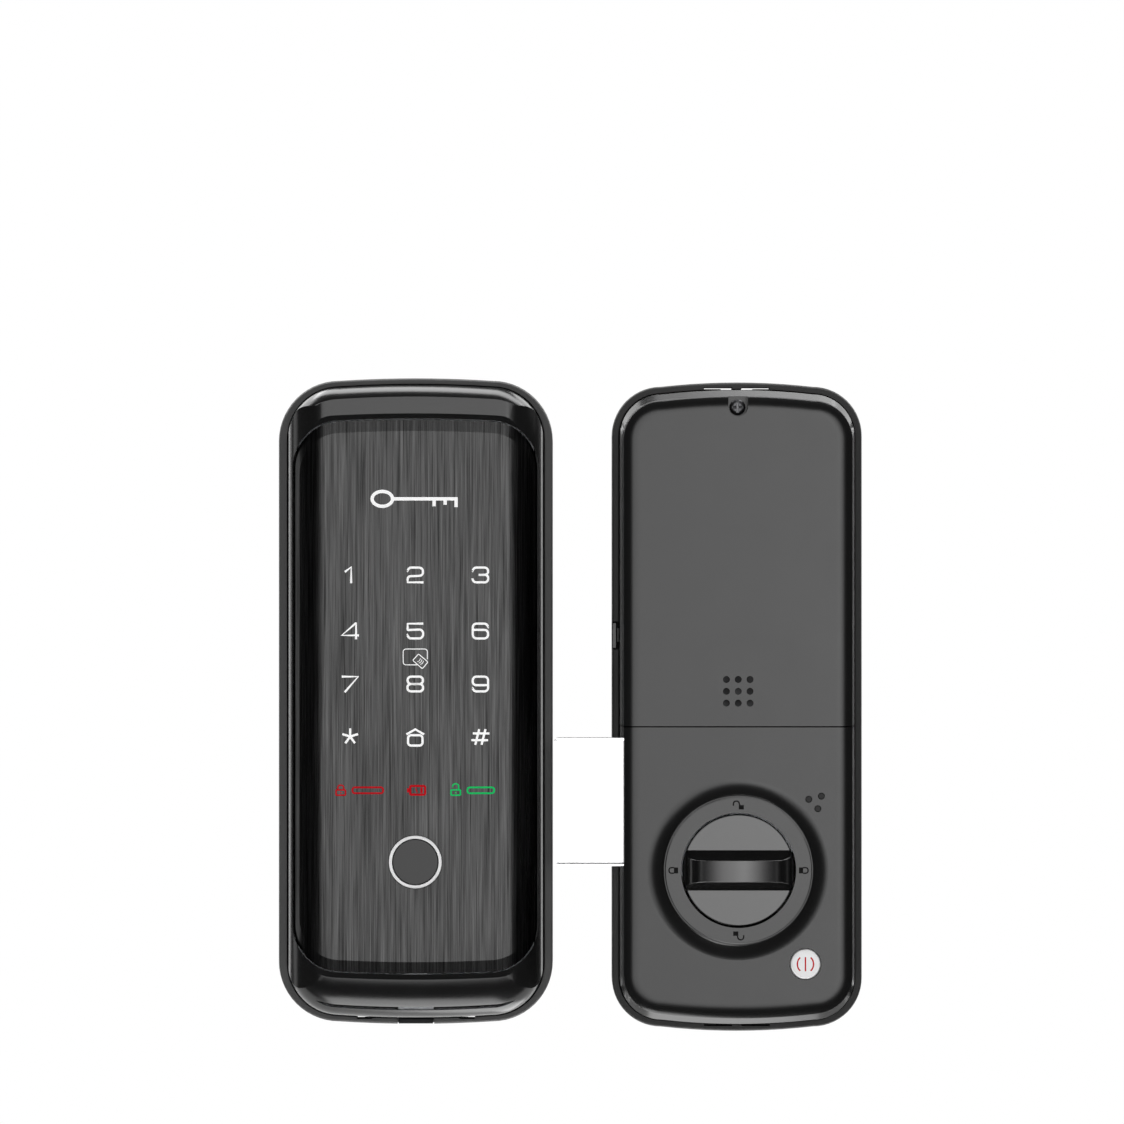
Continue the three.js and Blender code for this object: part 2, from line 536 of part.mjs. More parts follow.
function innerCase() {
  place(boltUnit, 'mounting_plate', cut(slab(outline(inset(INNER, 3.4)), 0, 1.8),
    cableHole(INNER_CABLE_WAY, -1, 3),
    ...BOLT_Z.map((z) => rod(BOLT_HOLES.plate, -1, 3, 0, z)),
    rod(4.5, -1, 3, 0, KNOB_Z),
    ...BASE_SCREWS.map(([x, z]) => rod(SCREW_HOLES.mounting, -1, 3, x, z, 12))), FINISHES.steel);
  place(boltUnit, 'inner_base_frame', baseFrame(), FINISHES.frameBlack);
  place(boltUnit, 'lower_cover', lowerCover(), FINISHES.satinBlack);
  place(boltUnit, 'battery_cover', batteryCover(), FINISHES.satinBlack);
  place(boltUnit, 'cover_screw', screw(0, COVER_SCREW_Z, ...COVER_SCREW_SIZE), FINISHES.frameBlack);
  BASE_SCREWS.forEach(([x, z], i) => {
    place(boltUnit, `base_screw_${i + 1}`, screw(x, z, ...BASE_SCREW_SIZE), FINISHES.steel);
  });
  place(boltUnit, 'release_key', join(box(...RELEASE_PAD), box(...RELEASE_STEM)), FINISHES.satinBlack);
}

// ---------------------------------------------------------------- deadbolt unit: power and electronics

const cellHeights = [0, 1, 2, 3].map((i) => CELL.lowest + i * CELL.pitch);

function batteryTray() {
  const bay = CELL.radius + 0.25;
  const bays = cellHeights.map((z) => new THREE.CylinderGeometry(bay, bay, 53, 20)
    .rotateZ(Math.PI / 2).translate(0, -CELL.depth, z));
  const legs = [-TRAY_LEGS.x, TRAY_LEGS.x].flatMap((x) => TRAY_LEGS.z
    .map((z) => rod(TRAY_LEGS.radius, FLOOR.front + GAP, 15, x, z, 12)));
  return cut(
    join(slab(polygon(TRAY_OUTLINE), 14.2, 27.0), box(...TRAY_TONGUE), ...legs),
    ...bays,
    box(-26.5, 26.5, cellHeights[0] - 7.3, cellHeights[3] + 7.3, CELL.depth, 30),
    ...[-26.05, 26.05].map((x) => box(x - 0.45, x + 0.45,
      cellHeights[0] - 7, cellHeights[3] + 7, CELL.depth - 4.8, 30)));
}

function cell(z, plus) {
  const end = CELL.length / 2;
  const { radius } = CELL;
  const points = [[0, -end], [radius - 0.4, -end], [radius, -end + 0.4], [radius, end - 1.4],
    [radius - 0.4, end - 1.0], [2.7, end - 1.0], [2.7, end], [0, end]];
  return new THREE.LatheGeometry(points.map(([r, h]) => new THREE.Vector2(r, h)), 16)
    .rotateZ(plus > 0 ? -Math.PI / 2 : Math.PI / 2).translate(0, -CELL.depth, z);
}

// A sprung contact plate behind the cell ends, on the left (-1) or the right (+1) of the tray.
function contactPlate(side, heights) {
  const bottom = Math.min(...heights) - 4.5;
  const top = Math.max(...heights) + 4.5;
  const plate = box(Math.min(side * 25.95, side * 26.35), Math.max(side * 25.95, side * 26.35),
    bottom, top, CELL.depth - 4.5, CELL.depth + 4.0);
  const domes = heights.map((z) => new THREE.CylinderGeometry(1.2, 2.6, 0.6, 12)
    .rotateZ((side * Math.PI) / 2).translate(side * 25.75, -CELL.depth, z));
  return join(plate, ...domes);
}

function innerElectronics() {
  const [first, second, third, fourth] = cellHeights;
  place(boltUnit, 'battery_tray', batteryTray(), FINISHES.innerPlastic);
  cellHeights.forEach((z, i) => {
    place(boltUnit, `battery_${i + 1}`, cell(z, i % 2 ? -1 : 1), FINISHES.cell);
  });
  place(boltUnit, 'left_contact_lower', contactPlate(-1, [first, second]), FINISHES.spring);
  place(boltUnit, 'left_contact_upper', contactPlate(-1, [third, fourth]), FINISHES.spring);
  place(boltUnit, 'right_contact_lower', contactPlate(1, [first]), FINISHES.spring);
  place(boltUnit, 'right_contact_middle', contactPlate(1, [second, third]), FINISHES.spring);
  place(boltUnit, 'right_contact_upper', contactPlate(1, [fourth]), FINISHES.spring);
  place(boltUnit, 'control_board', box(...CONTROL_BOARD), FINISHES.board);
  place(boltUnit, 'control_cable_socket', cut(box(...CONTROL_SOCKET),
    box(...CONTROL_SOCKET_MOUTH)), FINISHES.whitePlastic);
  place(boltUnit, 'speaker', turned(SPEAKER_PROFILE, 0, SPEAKER_Z, 32), FINISHES.innerPlastic);
  place(boltUnit, 'light_board', box(...LIGHT_BOARD), FINISHES.board);
  LIGHTS.forEach(([x, z], i) => {
    place(boltUnit, `status_light_${i + 1}`, rod(0.8, 30.2, COVER_FRONT - 0.1, x, z, 12), FINISHES.lens);
  });
}

// ---------------------------------------------------------------- deadbolt unit: works

function thumbturn() {
  const disc = turned([[0, KNOB.back], [KNOB.radius - 0.3, KNOB.back], [KNOB.radius, KNOB.back + 0.3],
    [KNOB.radius, KNOB.disc - 0.3], [KNOB.radius - 0.3, KNOB.disc], [0, KNOB.disc]], 0, KNOB_Z, 32);
  const foot = KNOB.barFoot / 2;
  const head = KNOB.barTop / 2;
  const grip = sideways([[36, KNOB_Z - foot], [KNOB.disc, KNOB_Z - foot], [39.5, KNOB_Z - head - 0.9],
    [KNOB.top, KNOB_Z - head], [KNOB.top, KNOB_Z + head], [39.5, KNOB_Z + head + 0.9],
    [KNOB.disc, KNOB_Z + foot], [36, KNOB_Z + foot]].reverse(), -15, 15);
  const span = KNOB.radius - 0.6;
  const start = KNOB.disc - 0.5;
  const arch = [[-span, 35], [span, 35]];
  for (let i = 0; i <= 14; i++) {
    const angle = (Math.PI * i) / 14;
    arch.push([span * Math.cos(angle), start + (KNOB.top - start) * Math.sin(angle) ** 0.6]);
  }
  const bar = common(common(grip, upright(arch, KNOB_Z - 10, KNOB_Z + 10)),
    rod(KNOB.radius - 0.2, 30, 50, 0, KNOB_Z, 32));
  return cut(join(disc, bar),
    rod(SPINDLE_RADIUS + GAP, 30, 35.3, 0, KNOB_Z));
}

function driveGear() {
  const axis = [0, KNOB_Z];
  const reach = CRANK_RADIUS / Math.SQRT2;
  return cut(join(gear(TEETH.drive, bearing(axis, IDLER_AT), ...DRIVE_LAYER, axis),
    rod(5, 7.4, 13.6, 0, KNOB_Z),
    rod(CRANK_PIN.radius, 10, CRANK_PIN.tip, -reach, KNOB_Z + reach, 16)),
  rod(SPINDLE_RADIUS + GAP, 5, 15, 0, KNOB_Z));
}

function idlerGear() {
  const meshed = bearing(IDLER_AT, [0, KNOB_Z]) + Math.PI / TEETH.idlerSmall; // a gap faces the drive gear
  return cut(join(gear(TEETH.idlerSmall, meshed, MOTOR_LAYER[1] - 0.1, DRIVE_LAYER[1], IDLER_AT),
    gear(TEETH.idlerLarge, bearing(IDLER_AT, MOTOR_AT), ...MOTOR_LAYER, IDLER_AT)),
  rod(IDLER_BORE, 4, 12, ...IDLER_AT, 16));
}

function motorPinion() {
  const meshed = bearing(MOTOR_AT, IDLER_AT) + Math.PI / TEETH.motor;
  return join(gear(TEETH.motor, meshed, MOTOR_LAYER[0], MOTOR_LAYER[1], MOTOR_AT),
    rod(1.0, MOTOR_LAYER[1] - 0.5, 13.5, ...MOTOR_AT, 12));
}

function motorBracket() {
  const leg = ([x, z], from, to) => rod(BRACKET_LEG_RADIUS, from, to, x, z, 12);
  return cut(join(slab(polygon(BRACKET_OUTLINE), 11.5, 12.6),
    ...BRACKET_LEGS.map((at) => leg(at, FLOOR.front + GAP, 12)),
    ...BRACKET_LEGS.slice(1).map((at) => leg(at, 12, 20.7))),
  rod(2.2, 11, 14, ...MOTOR_AT, 16),
  rod(1.5, 11, 14, ...IDLER_AT, 16));
}

function deadbolt() {
  const chamfer = 0.6;
  const { tip, shoulder, tail, top, bottom, back, front } = BOLT;
  const section = [[back, bottom + chamfer], [back + chamfer, bottom], [front - chamfer, bottom],
    [front, bottom + chamfer], [front, top - chamfer], [front - chamfer, top], [back + chamfer, top],
    [back, top - chamfer]];
  const head = sideways([...section].reverse(), tip + chamfer, shoulder);
  const nose = sideways([[back + chamfer, bottom + chamfer], [front - chamfer, bottom + chamfer],
    [front - chamfer, top - chamfer], [back + chamfer, top - chamfer]].reverse(), tip, tip + 1);
  const slotX = -CRANK_RADIUS / Math.SQRT2;
  return cut(join(head, nose, box(shoulder - 0.1, tail, -36, -8.2, back, front)),
    box(slotX - 1.95, slotX + 1.95, -34.9, -26.8, back - 1, 19));
}

function boltGuide() {
  return join(slab(polygon(GUIDE_OUTLINE), BOLT.front + 0.4, BOLT.front + 1.6),
    box(-26, 26, -7.4, -5.6, FLOOR.front + GAP, BOLT.front + 1),
    box(-26, -8, -43, -40.7, 12, BOLT.front + 1));
}

function works() {
  place(boltUnit, 'dial_ring', cut(rod(DIAL.outer, DIAL.back, DIAL.front, 0, KNOB_Z, 36),
    rod(DIAL.inner, 30, 40, 0, KNOB_Z, 36)), FINISHES.satinBlack);
  place(boltUnit, 'thumbturn_knob', thumbturn(), FINISHES.knobGrey);
  place(boltUnit, 'spindle', rod(SPINDLE_RADIUS, 2.4, 35.0, 0, KNOB_Z, 32), FINISHES.steel);
  place(boltUnit, 'drive_gear', driveGear(), FINISHES.acetal);
  place(boltUnit, 'idler_gear', idlerGear(), FINISHES.acetal);
  place(boltUnit, 'idler_pin', rod(IDLER_PIN_RADIUS, 2.4, 12.3, ...IDLER_AT, 16), FINISHES.steel);
  place(boltUnit, 'motor_pinion', motorPinion(), FINISHES.spring);
  place(boltUnit, 'motor', cut(turned(MOTOR_PROFILE, ...MOTOR_AT, 28),
    rod(1.3, 12, 14, ...MOTOR_AT, 16)), FINISHES.steel);
  place(boltUnit, 'motor_bracket', motorBracket(), FINISHES.innerPlastic);
  place(boltUnit, 'deadbolt', deadbolt(), FINISHES.boltSteel);
  place(boltUnit, 'bolt_guide', boltGuide(), FINISHES.steel);
  place(boltUnit, 'button_board', box(...BUTTON_BOARD), FINISHES.board);
  place(boltUnit, 'button_switch', join(
    box(BUTTON.x - 3, BUTTON.x + 3, BUTTON.z - 3, BUTTON.z + 3, 22.5, 25.6),
    rod(1.6, 25, 26.7, BUTTON.x, BUTTON.z, 16)), FINISHES.innerPlastic);
  place(boltUnit, 'open_close_button', turned(BUTTON_PROFILE, BUTTON.x, BUTTON.z, 32),
    FINISHES.whitePlastic);
}

// ---------------------------------------------------------------- assembly

keypadCase();
keypadContents();
innerCase();
innerElectronics();
works();

export default lock;
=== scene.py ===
"""Keypad smart lock: the visual model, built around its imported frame.

Two units stand side by side with their backs in one plane: the keypad unit of the outer door face,
centred on the origin, and the deadbolt unit of the inner door face. X runs to the right, Z up and
Y into the door. Sizes are in millimetres, and "depth" is the distance out from the door, along -Y.
"""
import json
import logging
import math
from dataclasses import dataclass
from enum import Enum
from itertools import pairwise
from typing import Callable, Sequence

import bmesh
import bpy
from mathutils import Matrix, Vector


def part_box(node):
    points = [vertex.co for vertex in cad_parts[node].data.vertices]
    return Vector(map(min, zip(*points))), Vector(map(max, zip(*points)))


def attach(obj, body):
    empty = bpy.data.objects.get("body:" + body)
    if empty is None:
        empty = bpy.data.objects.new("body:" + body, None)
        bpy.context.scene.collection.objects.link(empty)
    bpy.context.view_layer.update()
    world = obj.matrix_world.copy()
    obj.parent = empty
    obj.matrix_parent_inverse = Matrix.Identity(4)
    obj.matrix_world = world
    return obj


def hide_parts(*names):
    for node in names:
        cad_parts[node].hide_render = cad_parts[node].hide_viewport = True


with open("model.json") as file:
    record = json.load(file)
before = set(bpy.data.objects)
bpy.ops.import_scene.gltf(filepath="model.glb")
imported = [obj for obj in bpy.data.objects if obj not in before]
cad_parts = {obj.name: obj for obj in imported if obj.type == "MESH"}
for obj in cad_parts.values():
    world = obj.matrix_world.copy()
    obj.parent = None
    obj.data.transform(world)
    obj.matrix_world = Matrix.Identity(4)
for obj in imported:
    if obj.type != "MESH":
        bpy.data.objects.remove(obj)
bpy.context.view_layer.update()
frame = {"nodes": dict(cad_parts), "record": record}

MM = 0.001
PRESSED = 0.08  # how thick a printed line is, beside its width
log = logging.getLogger("lock")

Colour = tuple[float, float, float]
Pair = tuple[float, float]


# ------------------------------------------------------------------ named choices


class Body(Enum):
    """The rigid bodies of the frame that pieces ride on."""

    LOCK = "lock_body"
    THUMBTURN = "thumbturn"
    BOLT = "bolt"
    COVER = "cover"
    BUTTON = "button"
    RELEASE = "release"
    FLAP = "flap"


class Part(Enum):
    """What an edit tool works on."""

    POINTS = "VERT"
    EDGES = "EDGE"
    FACES = "FACE"


class Along(Enum):
    """The direction in which a drawn outline is pulled out."""

    DEPTH = 0  # the outline is drawn in X and Z
    WIDTH = 1  # the outline is drawn in depth and Z
    HEIGHT = 2  # the outline is drawn in X and depth


class Combine(Enum):
    """How one solid changes another."""

    CUT = "DIFFERENCE"
    JOIN = "UNION"
    COMMON = "INTERSECT"


# ------------------------------------------------------------------ outlines


@dataclass(frozen=True)
class Span:
    """Where a node of the frame lies at rest."""

    left: float
    right: float
    bottom: float
    top: float
    back: float
    front: float

    @classmethod
    def of(cls, node: str) -> "Span":
        """Measures one node.

        Args:
            node: The node's name in the frame.

        Returns:
            Its limits in millimetres.
        """
        low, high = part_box(node)
        return cls(low.x / MM, high.x / MM, low.z / MM, high.z / MM, -high.y / MM, -low.y / MM)

    @property
    def x(self) -> float:
        """Middle across the width."""
        return (self.left + self.right) / 2

    @property
    def z(self) -> float:
        """Middle of the height."""
        return (self.bottom + self.top) / 2

    @property
    def half_width(self) -> float:
        """Half of the width."""
        return (self.right - self.left) / 2

    @property
    def half_height(self) -> float:
        """Half of the height."""
        return (self.top - self.bottom) / 2


@dataclass(frozen=True)
class Outline:
    """A rounded rectangle in X and Z whose top and bottom edges bow outwards by its crown."""

    half_width: float
    half_height: float
    corner: float
    crown: float = 0.0
    x: float = 0.0
    z: float = 0.0

    def inset(self, side: float, end: float | None = None) -> "Outline":
        """Makes a smaller outline, or with negative numbers a larger one.

        Args:
            side: How far the sides move in.
            end: How far the ends move in, where it differs.

        Returns:
            The new outline.
        """
        end = side if end is None else end
        corner = max(self.corner - max(side, end) * 0.9, 0.5)
        return Outline(self.half_width - side, self.half_height - end, corner, self.crown, self.x, self.z)


def rounded(points: Sequence[tuple[float, ...]], closed: bool = False, steps: int = 6) -> list[Pair]:
    """Rounds the corners of a line of points.

    Args:
        points: Pairs, or triples whose third number is the radius of that corner.
        closed: Whether the last point joins the first.
        steps: Pieces in each rounded corner.

    Returns:
        The points of the rounded line.
    """
    line: list[Pair] = []
    count = len(points)
    for i, point in enumerate(points):
        here = Vector(point[:2])
        radius = point[2] if len(point) > 2 else 0.0
        if radius == 0.0 or (not closed and i in (0, count - 1)):
            line.append((here.x, here.y))
            continue
        before = (Vector(points[i - 1][:2]) - here).normalized()
        after = (Vector(points[(i + 1) % count][:2]) - here).normalized()
        half = before.angle(after) / 2
        reach = radius / math.tan(half)
        middle = here + (before + after).normalized() * (radius / math.sin(half))
        first = here + before * reach - middle
        turn = first.angle_signed(here + after * reach - middle)
        for k in range(steps + 1):
            angle = -turn * k / steps
            c, s = math.cos(angle), math.sin(angle)
            line.append((middle.x + first.x * c - first.y * s, middle.y + first.x * s + first.y * c))
    return line


# ------------------------------------------------------------------ the bench


def take_all() -> None:
    """Selects the whole mesh that is being edited."""
    bpy.ops.mesh.select_all(action="SELECT")


def draw_out(step: Sequence[float]) -> None:
    """Draws the selection out by a step in metres."""
    bpy.ops.mesh.extrude_region_move(TRANSFORM_OT_translate={"value": step})


class Bench:
    """One piece under work: started from a primitive, then shaped with Blender's edit tools."""

    def __init__(self, name: str) -> None:
        """Names the piece; a starting shape follows."""
        self.name = name
        self.object: bpy.types.Object | None = None
        self.middle = 0.0

    # -- starting shapes

    def plate(self, outline: Outline, depth: float, corner_steps: int = 14, bow_cuts: int = 9) -> "Bench":
        """Starts with a rounded, bowed face that looks out from the door.

        Args:
            outline: Its shape and place.
            depth: Where the face lies.
            corner_steps: Pieces in each rounded corner.
            bow_cuts: Points added along each bowed edge.

        Returns:
            This bench, with the face selected.
        """
        straight = outline.half_height - outline.crown
        self.primitive(bpy.ops.mesh.primitive_plane_add, size=2 * MM)
        bpy.ops.transform.resize(value=(outline.half_width, 1, straight), center_override=(0, 0, 0))
        bpy.ops.mesh.bevel(offset=outline.corner * MM, segments=corner_steps, affect="VERTICES")
        if outline.crown > 0:
            self._bow(outline, straight, bow_cuts)
        take_all()
        bpy.ops.transform.translate(value=(outline.x * MM, -depth * MM, outline.z * MM))
        self.pick(Part.FACES, lambda centre, normal: True)
        self.middle = outline.z
        return self

    def _bow(self, outline: Outline, straight: float, cuts: int) -> None:
        """Divides the two end edges and moves their points out along a parabola."""
        flat = outline.half_width - outline.corner
        reach = straight - 1e-3
        self.pick(Part.EDGES, lambda a, b: abs(a.z) > reach and abs(b.z) > reach and abs(a.x - b.x) > flat)
        bpy.ops.mesh.subdivide(number_cuts=cuts)
        for k in range(1, cuts + 1):
            x = flat * (1 - 2 * k / (cuts + 1))
            for end in (-1, 1):
                self.pick(Part.POINTS, lambda p: abs(p.x - x) < 0.01 and p.z * end > reach)
                bow = end * outline.crown * (1 - (x / flat) ** 2)
                bpy.ops.transform.translate(value=(0, 0, bow * MM))

    def turned(self, profile: Sequence[Pair], x: float = 0.0, z: float = 0.0, sides: int = 96,
               along: Along = Along.DEPTH) -> "Bench":
        """Turns a solid about an axis by drawing a disc out and resizing it at each step.

        Args:
            profile: Pairs of radius and depth from the back to the front, with no radius of zero.
            x: The axis across the width.
            z: The axis up the height.
            sides: Sides of the disc.
            along: The axis's direction. Along the width, "depth" in the profile is X.

        Returns:
            This bench.
        """
        radius, start = profile[0]
        quarter = math.pi / 2
        turn = (quarter, 0, 0) if along is Along.DEPTH else (0, quarter, 0)
        self.primitive(bpy.ops.mesh.primitive_circle_add, vertices=sides, radius=radius * MM,
                        fill_type="NGON", rotation=turn)
        way = Vector((0, -1, 0)) if along is Along.DEPTH else Vector((1, 0, 0))
        foot = Vector((x, 0, z)) if along is Along.DEPTH else Vector((0, -x, z))
        bpy.ops.transform.translate(value=(foot + way * start) * MM)
        for (before, low), (after, high) in pairwise(profile):
            draw_out(way * ((high - low) * MM))
            ratio = after / before
            value = (ratio, 1, ratio) if along is Along.DEPTH else (1, ratio, ratio)
            bpy.ops.transform.resize(value=value, center_override=(foot + way * high) * MM)
        return self.outward()

    def prism(self, points: Sequence[Pair], start: float, end: float, along: Along = Along.DEPTH) -> "Bench":
        """Draws an outline point by point, fills it and pulls it out.

        Args:
            points: The outline, as pairs in the plane that "along" says.
            start: Where it begins along that direction.
            end: Where it stops.
            along: The direction.

        Returns:
            This bench.
        """
        def place(pair: Pair) -> Vector:
            """A point of the outline in metres, at its start."""
            a, b = pair
            spot = {Along.DEPTH: (a, -start, b), Along.WIDTH: (start, -a, b), Along.HEIGHT: (a, -b, start)}
            return Vector(spot[along]) * MM

        way = {Along.DEPTH: (0, -1, 0), Along.WIDTH: (1, 0, 0), Along.HEIGHT: (0, 0, 1)}[along]
        self.primitive(bpy.ops.mesh.primitive_plane_add, size=MM)
        bpy.ops.mesh.merge(type="CENTER")
        bpy.ops.transform.translate(value=place(points[0]))
        for before, after in pairwise(points):
            step = place(after) - place(before)
            draw_out(step)
        take_all()
        bpy.ops.mesh.edge_face_add()
        pull = Vector(way) * ((end - start) * MM)
        draw_out(pull)
        return self.outward()

    def box(self, left: float, right: float, bottom: float, top: float, back: float, front: float) -> "Bench":
        """Starts with a block between six limits."""
        corners = [(left, bottom), (right, bottom), (right, top), (left, top)]
        return self.prism(corners, back, front)

    def slab(self, outline: Outline, back: float, front: float) -> "Bench":
        """Starts with an outline pulled out from one depth to another."""
        return self.plate(outline, back).rise(front - back).outward()

    def copy_of(self, node: str) -> "Bench":
        """Starts with a copy of a node of the frame, its loose triangles merged into faces."""
        source = frame["nodes"][node]
        self.object = bpy.data.objects.new(self.name, source.data.copy())
        bpy.context.scene.collection.objects.link(self.object)
        self.edit()
        take_all()
        bpy.ops.mesh.customdata_custom_splitnormals_clear()
        bpy.ops.mesh.remove_doubles(threshold=1e-6)
        bpy.ops.mesh.dissolve_limited(angle_limit=math.radians(1))
        return self.outward()

    # -- shaping

    def rise(self, up: float, side: float = 0.0, top: float | None = None,
             bottom: float | None = None) -> "Bench":
        """Draws the selected face out from the door, drawing it in at its edge as it goes.

        Args:
            up: How far it moves out.
            side: How far it draws in all round.
            top: How far the top draws in, where it differs.
            bottom: How far the bottom draws in, where it differs.

        Returns:
            This bench, with the new face selected.
        """
        if side > 1e-3:
            bpy.ops.mesh.inset(thickness=side * MM, depth=0)
            bpy.ops.transform.translate(value=(0, -up * MM, 0))
        else:
            draw_out((0, -up * MM, 0))
        for half, end in ((1, top), (-1, bottom)):
            if end is not None and abs(end - side) > 1e-6:
                self._shift_half(half, half * (side - end))
        return self

    def rise_rounded(self, height: float, steps: Sequence[Pair]) -> "Bench":
        """Draws the selected face out by a height that ends in steps, each a pair of rise and inset."""
        self.rise(height - sum(up for up, _ in steps))
        for up, side in steps:
            self.rise(up, side)
        return self.outward()

    def _shift_half(self, half: int, move: float) -> None:
        """Moves the upper (1) or lower (-1) points of the selected face along Z."""
        mesh = bmesh.from_edit_mesh(self.object.data)
        kept = [f.index for f in mesh.faces if f.select]
        middle = self.middle * MM
        chosen = [p for p in mesh.verts if p.select and (p.co.z - middle) * half > 0]
        bpy.ops.mesh.select_mode(type="VERT")
        bpy.ops.mesh.select_all(action="DESELECT")
        for point in chosen:
            point.select_set(True)
        mesh.select_flush_mode()
        bmesh.update_edit_mesh(self.object.data)
        bpy.ops.transform.translate(value=(0, 0, move * MM))
        bpy.ops.mesh.select_mode(type="FACE")
        bpy.ops.mesh.select_all(action="DESELECT")
        mesh = bmesh.from_edit_mesh(self.object.data)
        mesh.faces.ensure_lookup_table()
        for index in kept:
            mesh.faces[index].select_set(True)
        bmesh.update_edit_mesh(self.object.data)

    def flare(self, up: float, out: float, outline: Outline) -> "Bench":
        """Draws the selected face out while each edge of its present outline moves outwards."""
        draw_out((0, -up * MM, 0))
        wider = (outline.half_width + out) / outline.half_width
        taller = (outline.half_height + out) / outline.half_height
        middle = (outline.x * MM, 0, outline.z * MM)
        bpy.ops.transform.resize(value=(wider, 1, taller), center_override=middle)
        return self

    def pick(self, part: Part, test: Callable[..., bool]) -> "Bench":
        """Selects by place.

        Args:
            part: Points, edges or faces.
            test: Given in millimetres: a point's place, an edge's two ends, or a face's middle and normal.

        Returns:
            This bench.
        """
        bpy.ops.mesh.select_mode(type=part.value)
        bpy.ops.mesh.select_all(action="DESELECT")
        mesh = bmesh.from_edit_mesh(self.object.data)
        if part is Part.POINTS:
            found = [p for p in mesh.verts if test(p.co / MM)]
        elif part is Part.EDGES:
            found = [e for e in mesh.edges if test(*(p.co / MM for p in e.verts))]
        else:
            found = [f for f in mesh.faces if test(f.calc_center_median() / MM, f.normal)]
        for element in found:
            element.select_set(True)
        mesh.select_flush_mode()
        bmesh.update_edit_mesh(self.object.data)
        return self

    def slice(self, point: Sequence[float], normal: Sequence[float]) -> "Bench":
        """Cuts off the side of a plane that its normal points to. Both are given as X, depth and Z."""
        self.edit()
        take_all()
        place = (point[0] * MM, -point[1] * MM, point[2] * MM)
        away = (normal[0], -normal[1], normal[2])
        bpy.ops.mesh.bisect(plane_co=place, plane_no=away, use_fill=True, clear_outer=True)
        return self

    def roll_sides(self, flat: float, radius: float, columns: int) -> "Bench":
        """Rolls both sides of a slab back round upright axes.

        Args:
            flat: Half of the width that stays flat.
            radius: The roll's radius.
            columns: Columns cut into each rolled side.

        Returns:
            This bench.
        """
        self.edit()
        edge = max(abs(p.co.x) for p in bmesh.from_edit_mesh(self.object.data).verts) / MM
        for side in (-1, 1):
            for k in range(columns):
                x = side * (flat + (edge - flat) * k / columns)
                take_all()
                bpy.ops.mesh.bisect(plane_co=(x * MM, 0, 0), plane_no=(1, 0, 0))
        mesh = bmesh.from_edit_mesh(self.object.data)
        spots = sorted({round(abs(p.co.x) / MM, 4) for p in mesh.verts if abs(p.co.x) / MM > flat + 1e-3})
        for spot in spots:
            drop = radius - math.sqrt(max(radius * radius - (spot - flat) ** 2, 0.0))
            self.pick(Part.POINTS, lambda p: abs(abs(p.x) - spot) < 1e-4)
            bpy.ops.transform.translate(value=(0, drop * MM, 0))
        return self.outward()

    def outward(self) -> "Bench":
        """Turns every face to look outwards."""
        self.edit()
        take_all()
        bpy.ops.mesh.normals_make_consistent(inside=False)
        return self

    def move(self, x: float, z: float) -> "Bench":
        """Moves the whole mesh across and up."""
        self.edit()
        take_all()
        bpy.ops.transform.translate(value=(x * MM, 0, z * MM))
        return self

    def turn(self, degrees: float, x: float, z: float) -> "Bench":
        """Turns the whole mesh about an axis along the depth, anticlockwise as seen from the front."""
        self.edit()
        take_all()
        bpy.ops.transform.rotate(value=math.radians(degrees), orient_axis="Y",
                                 center_override=(x * MM, 0, z * MM))
        return self

    def combine(self, how: Combine, *others: "Bench") -> "Bench":
        """Cuts, joins or keeps the common part with other solids, which are used up."""
        for other in others:
            other.stop()
            self.stop()
            change = self.object.modifiers.new("change", "BOOLEAN")
            change.operation = how.value
            change.solver = "EXACT"
            change.object = other.object
            bpy.ops.object.modifier_apply(modifier=change.name)
            bpy.data.meshes.remove(other.object.data)
        return self

    def cut(self, *others: "Bench") -> "Bench":
        """Cuts other solids out of this one."""
        return self.combine(Combine.CUT, *others)

    def join(self, *others: "Bench") -> "Bench":
        """Joins other solids to this one."""
        return self.combine(Combine.JOIN, *others)

    def common(self, *others: "Bench") -> "Bench":
        """Keeps what this solid shares with others."""
        return self.combine(Combine.COMMON, *others)

    def gather(self, *others: "Bench") -> "Bench":
        """Takes separate shapes into this piece's mesh without joining their surfaces."""
        self.stop()
        for other in others:
            other.stop()
        bpy.ops.object.select_all(action="DESELECT")
        for other in others:
            other.object.select_set(True)
        self.object.select_set(True)
        bpy.context.view_layer.objects.active = self.object
        bpy.ops.object.join()
        return self

    def soften(self, width: float, steps: int = 3, angle: float = 28.0) -> "Bench":
        """Rounds every edge that is sharper than an angle."""
        self.stop()
        edge = self.object.modifiers.new("soften", "BEVEL")
        edge.width = width * MM
        edge.segments = steps
        edge.limit_method = "ANGLE"
        edge.angle_limit = math.radians(angle)
        edge.use_clamp_overlap = True
        edge.miter_outer = "MITER_ARC"
        bpy.ops.object.modifier_apply(modifier=edge.name)
        return self

    def stop(self) -> "Bench":
        """Leaves edit mode with only this piece selected and active."""
        if bpy.context.object and bpy.context.object.mode == "EDIT":
            bpy.ops.object.mode_set(mode="OBJECT")
        bpy.ops.object.select_all(action="DESELECT")
        self.object.select_set(True)
        bpy.context.view_layer.objects.active = self.object
        return self

    def edit(self) -> None:
        """Enters edit mode on this piece alone."""
        self.stop()
        bpy.ops.object.mode_set(mode="EDIT")

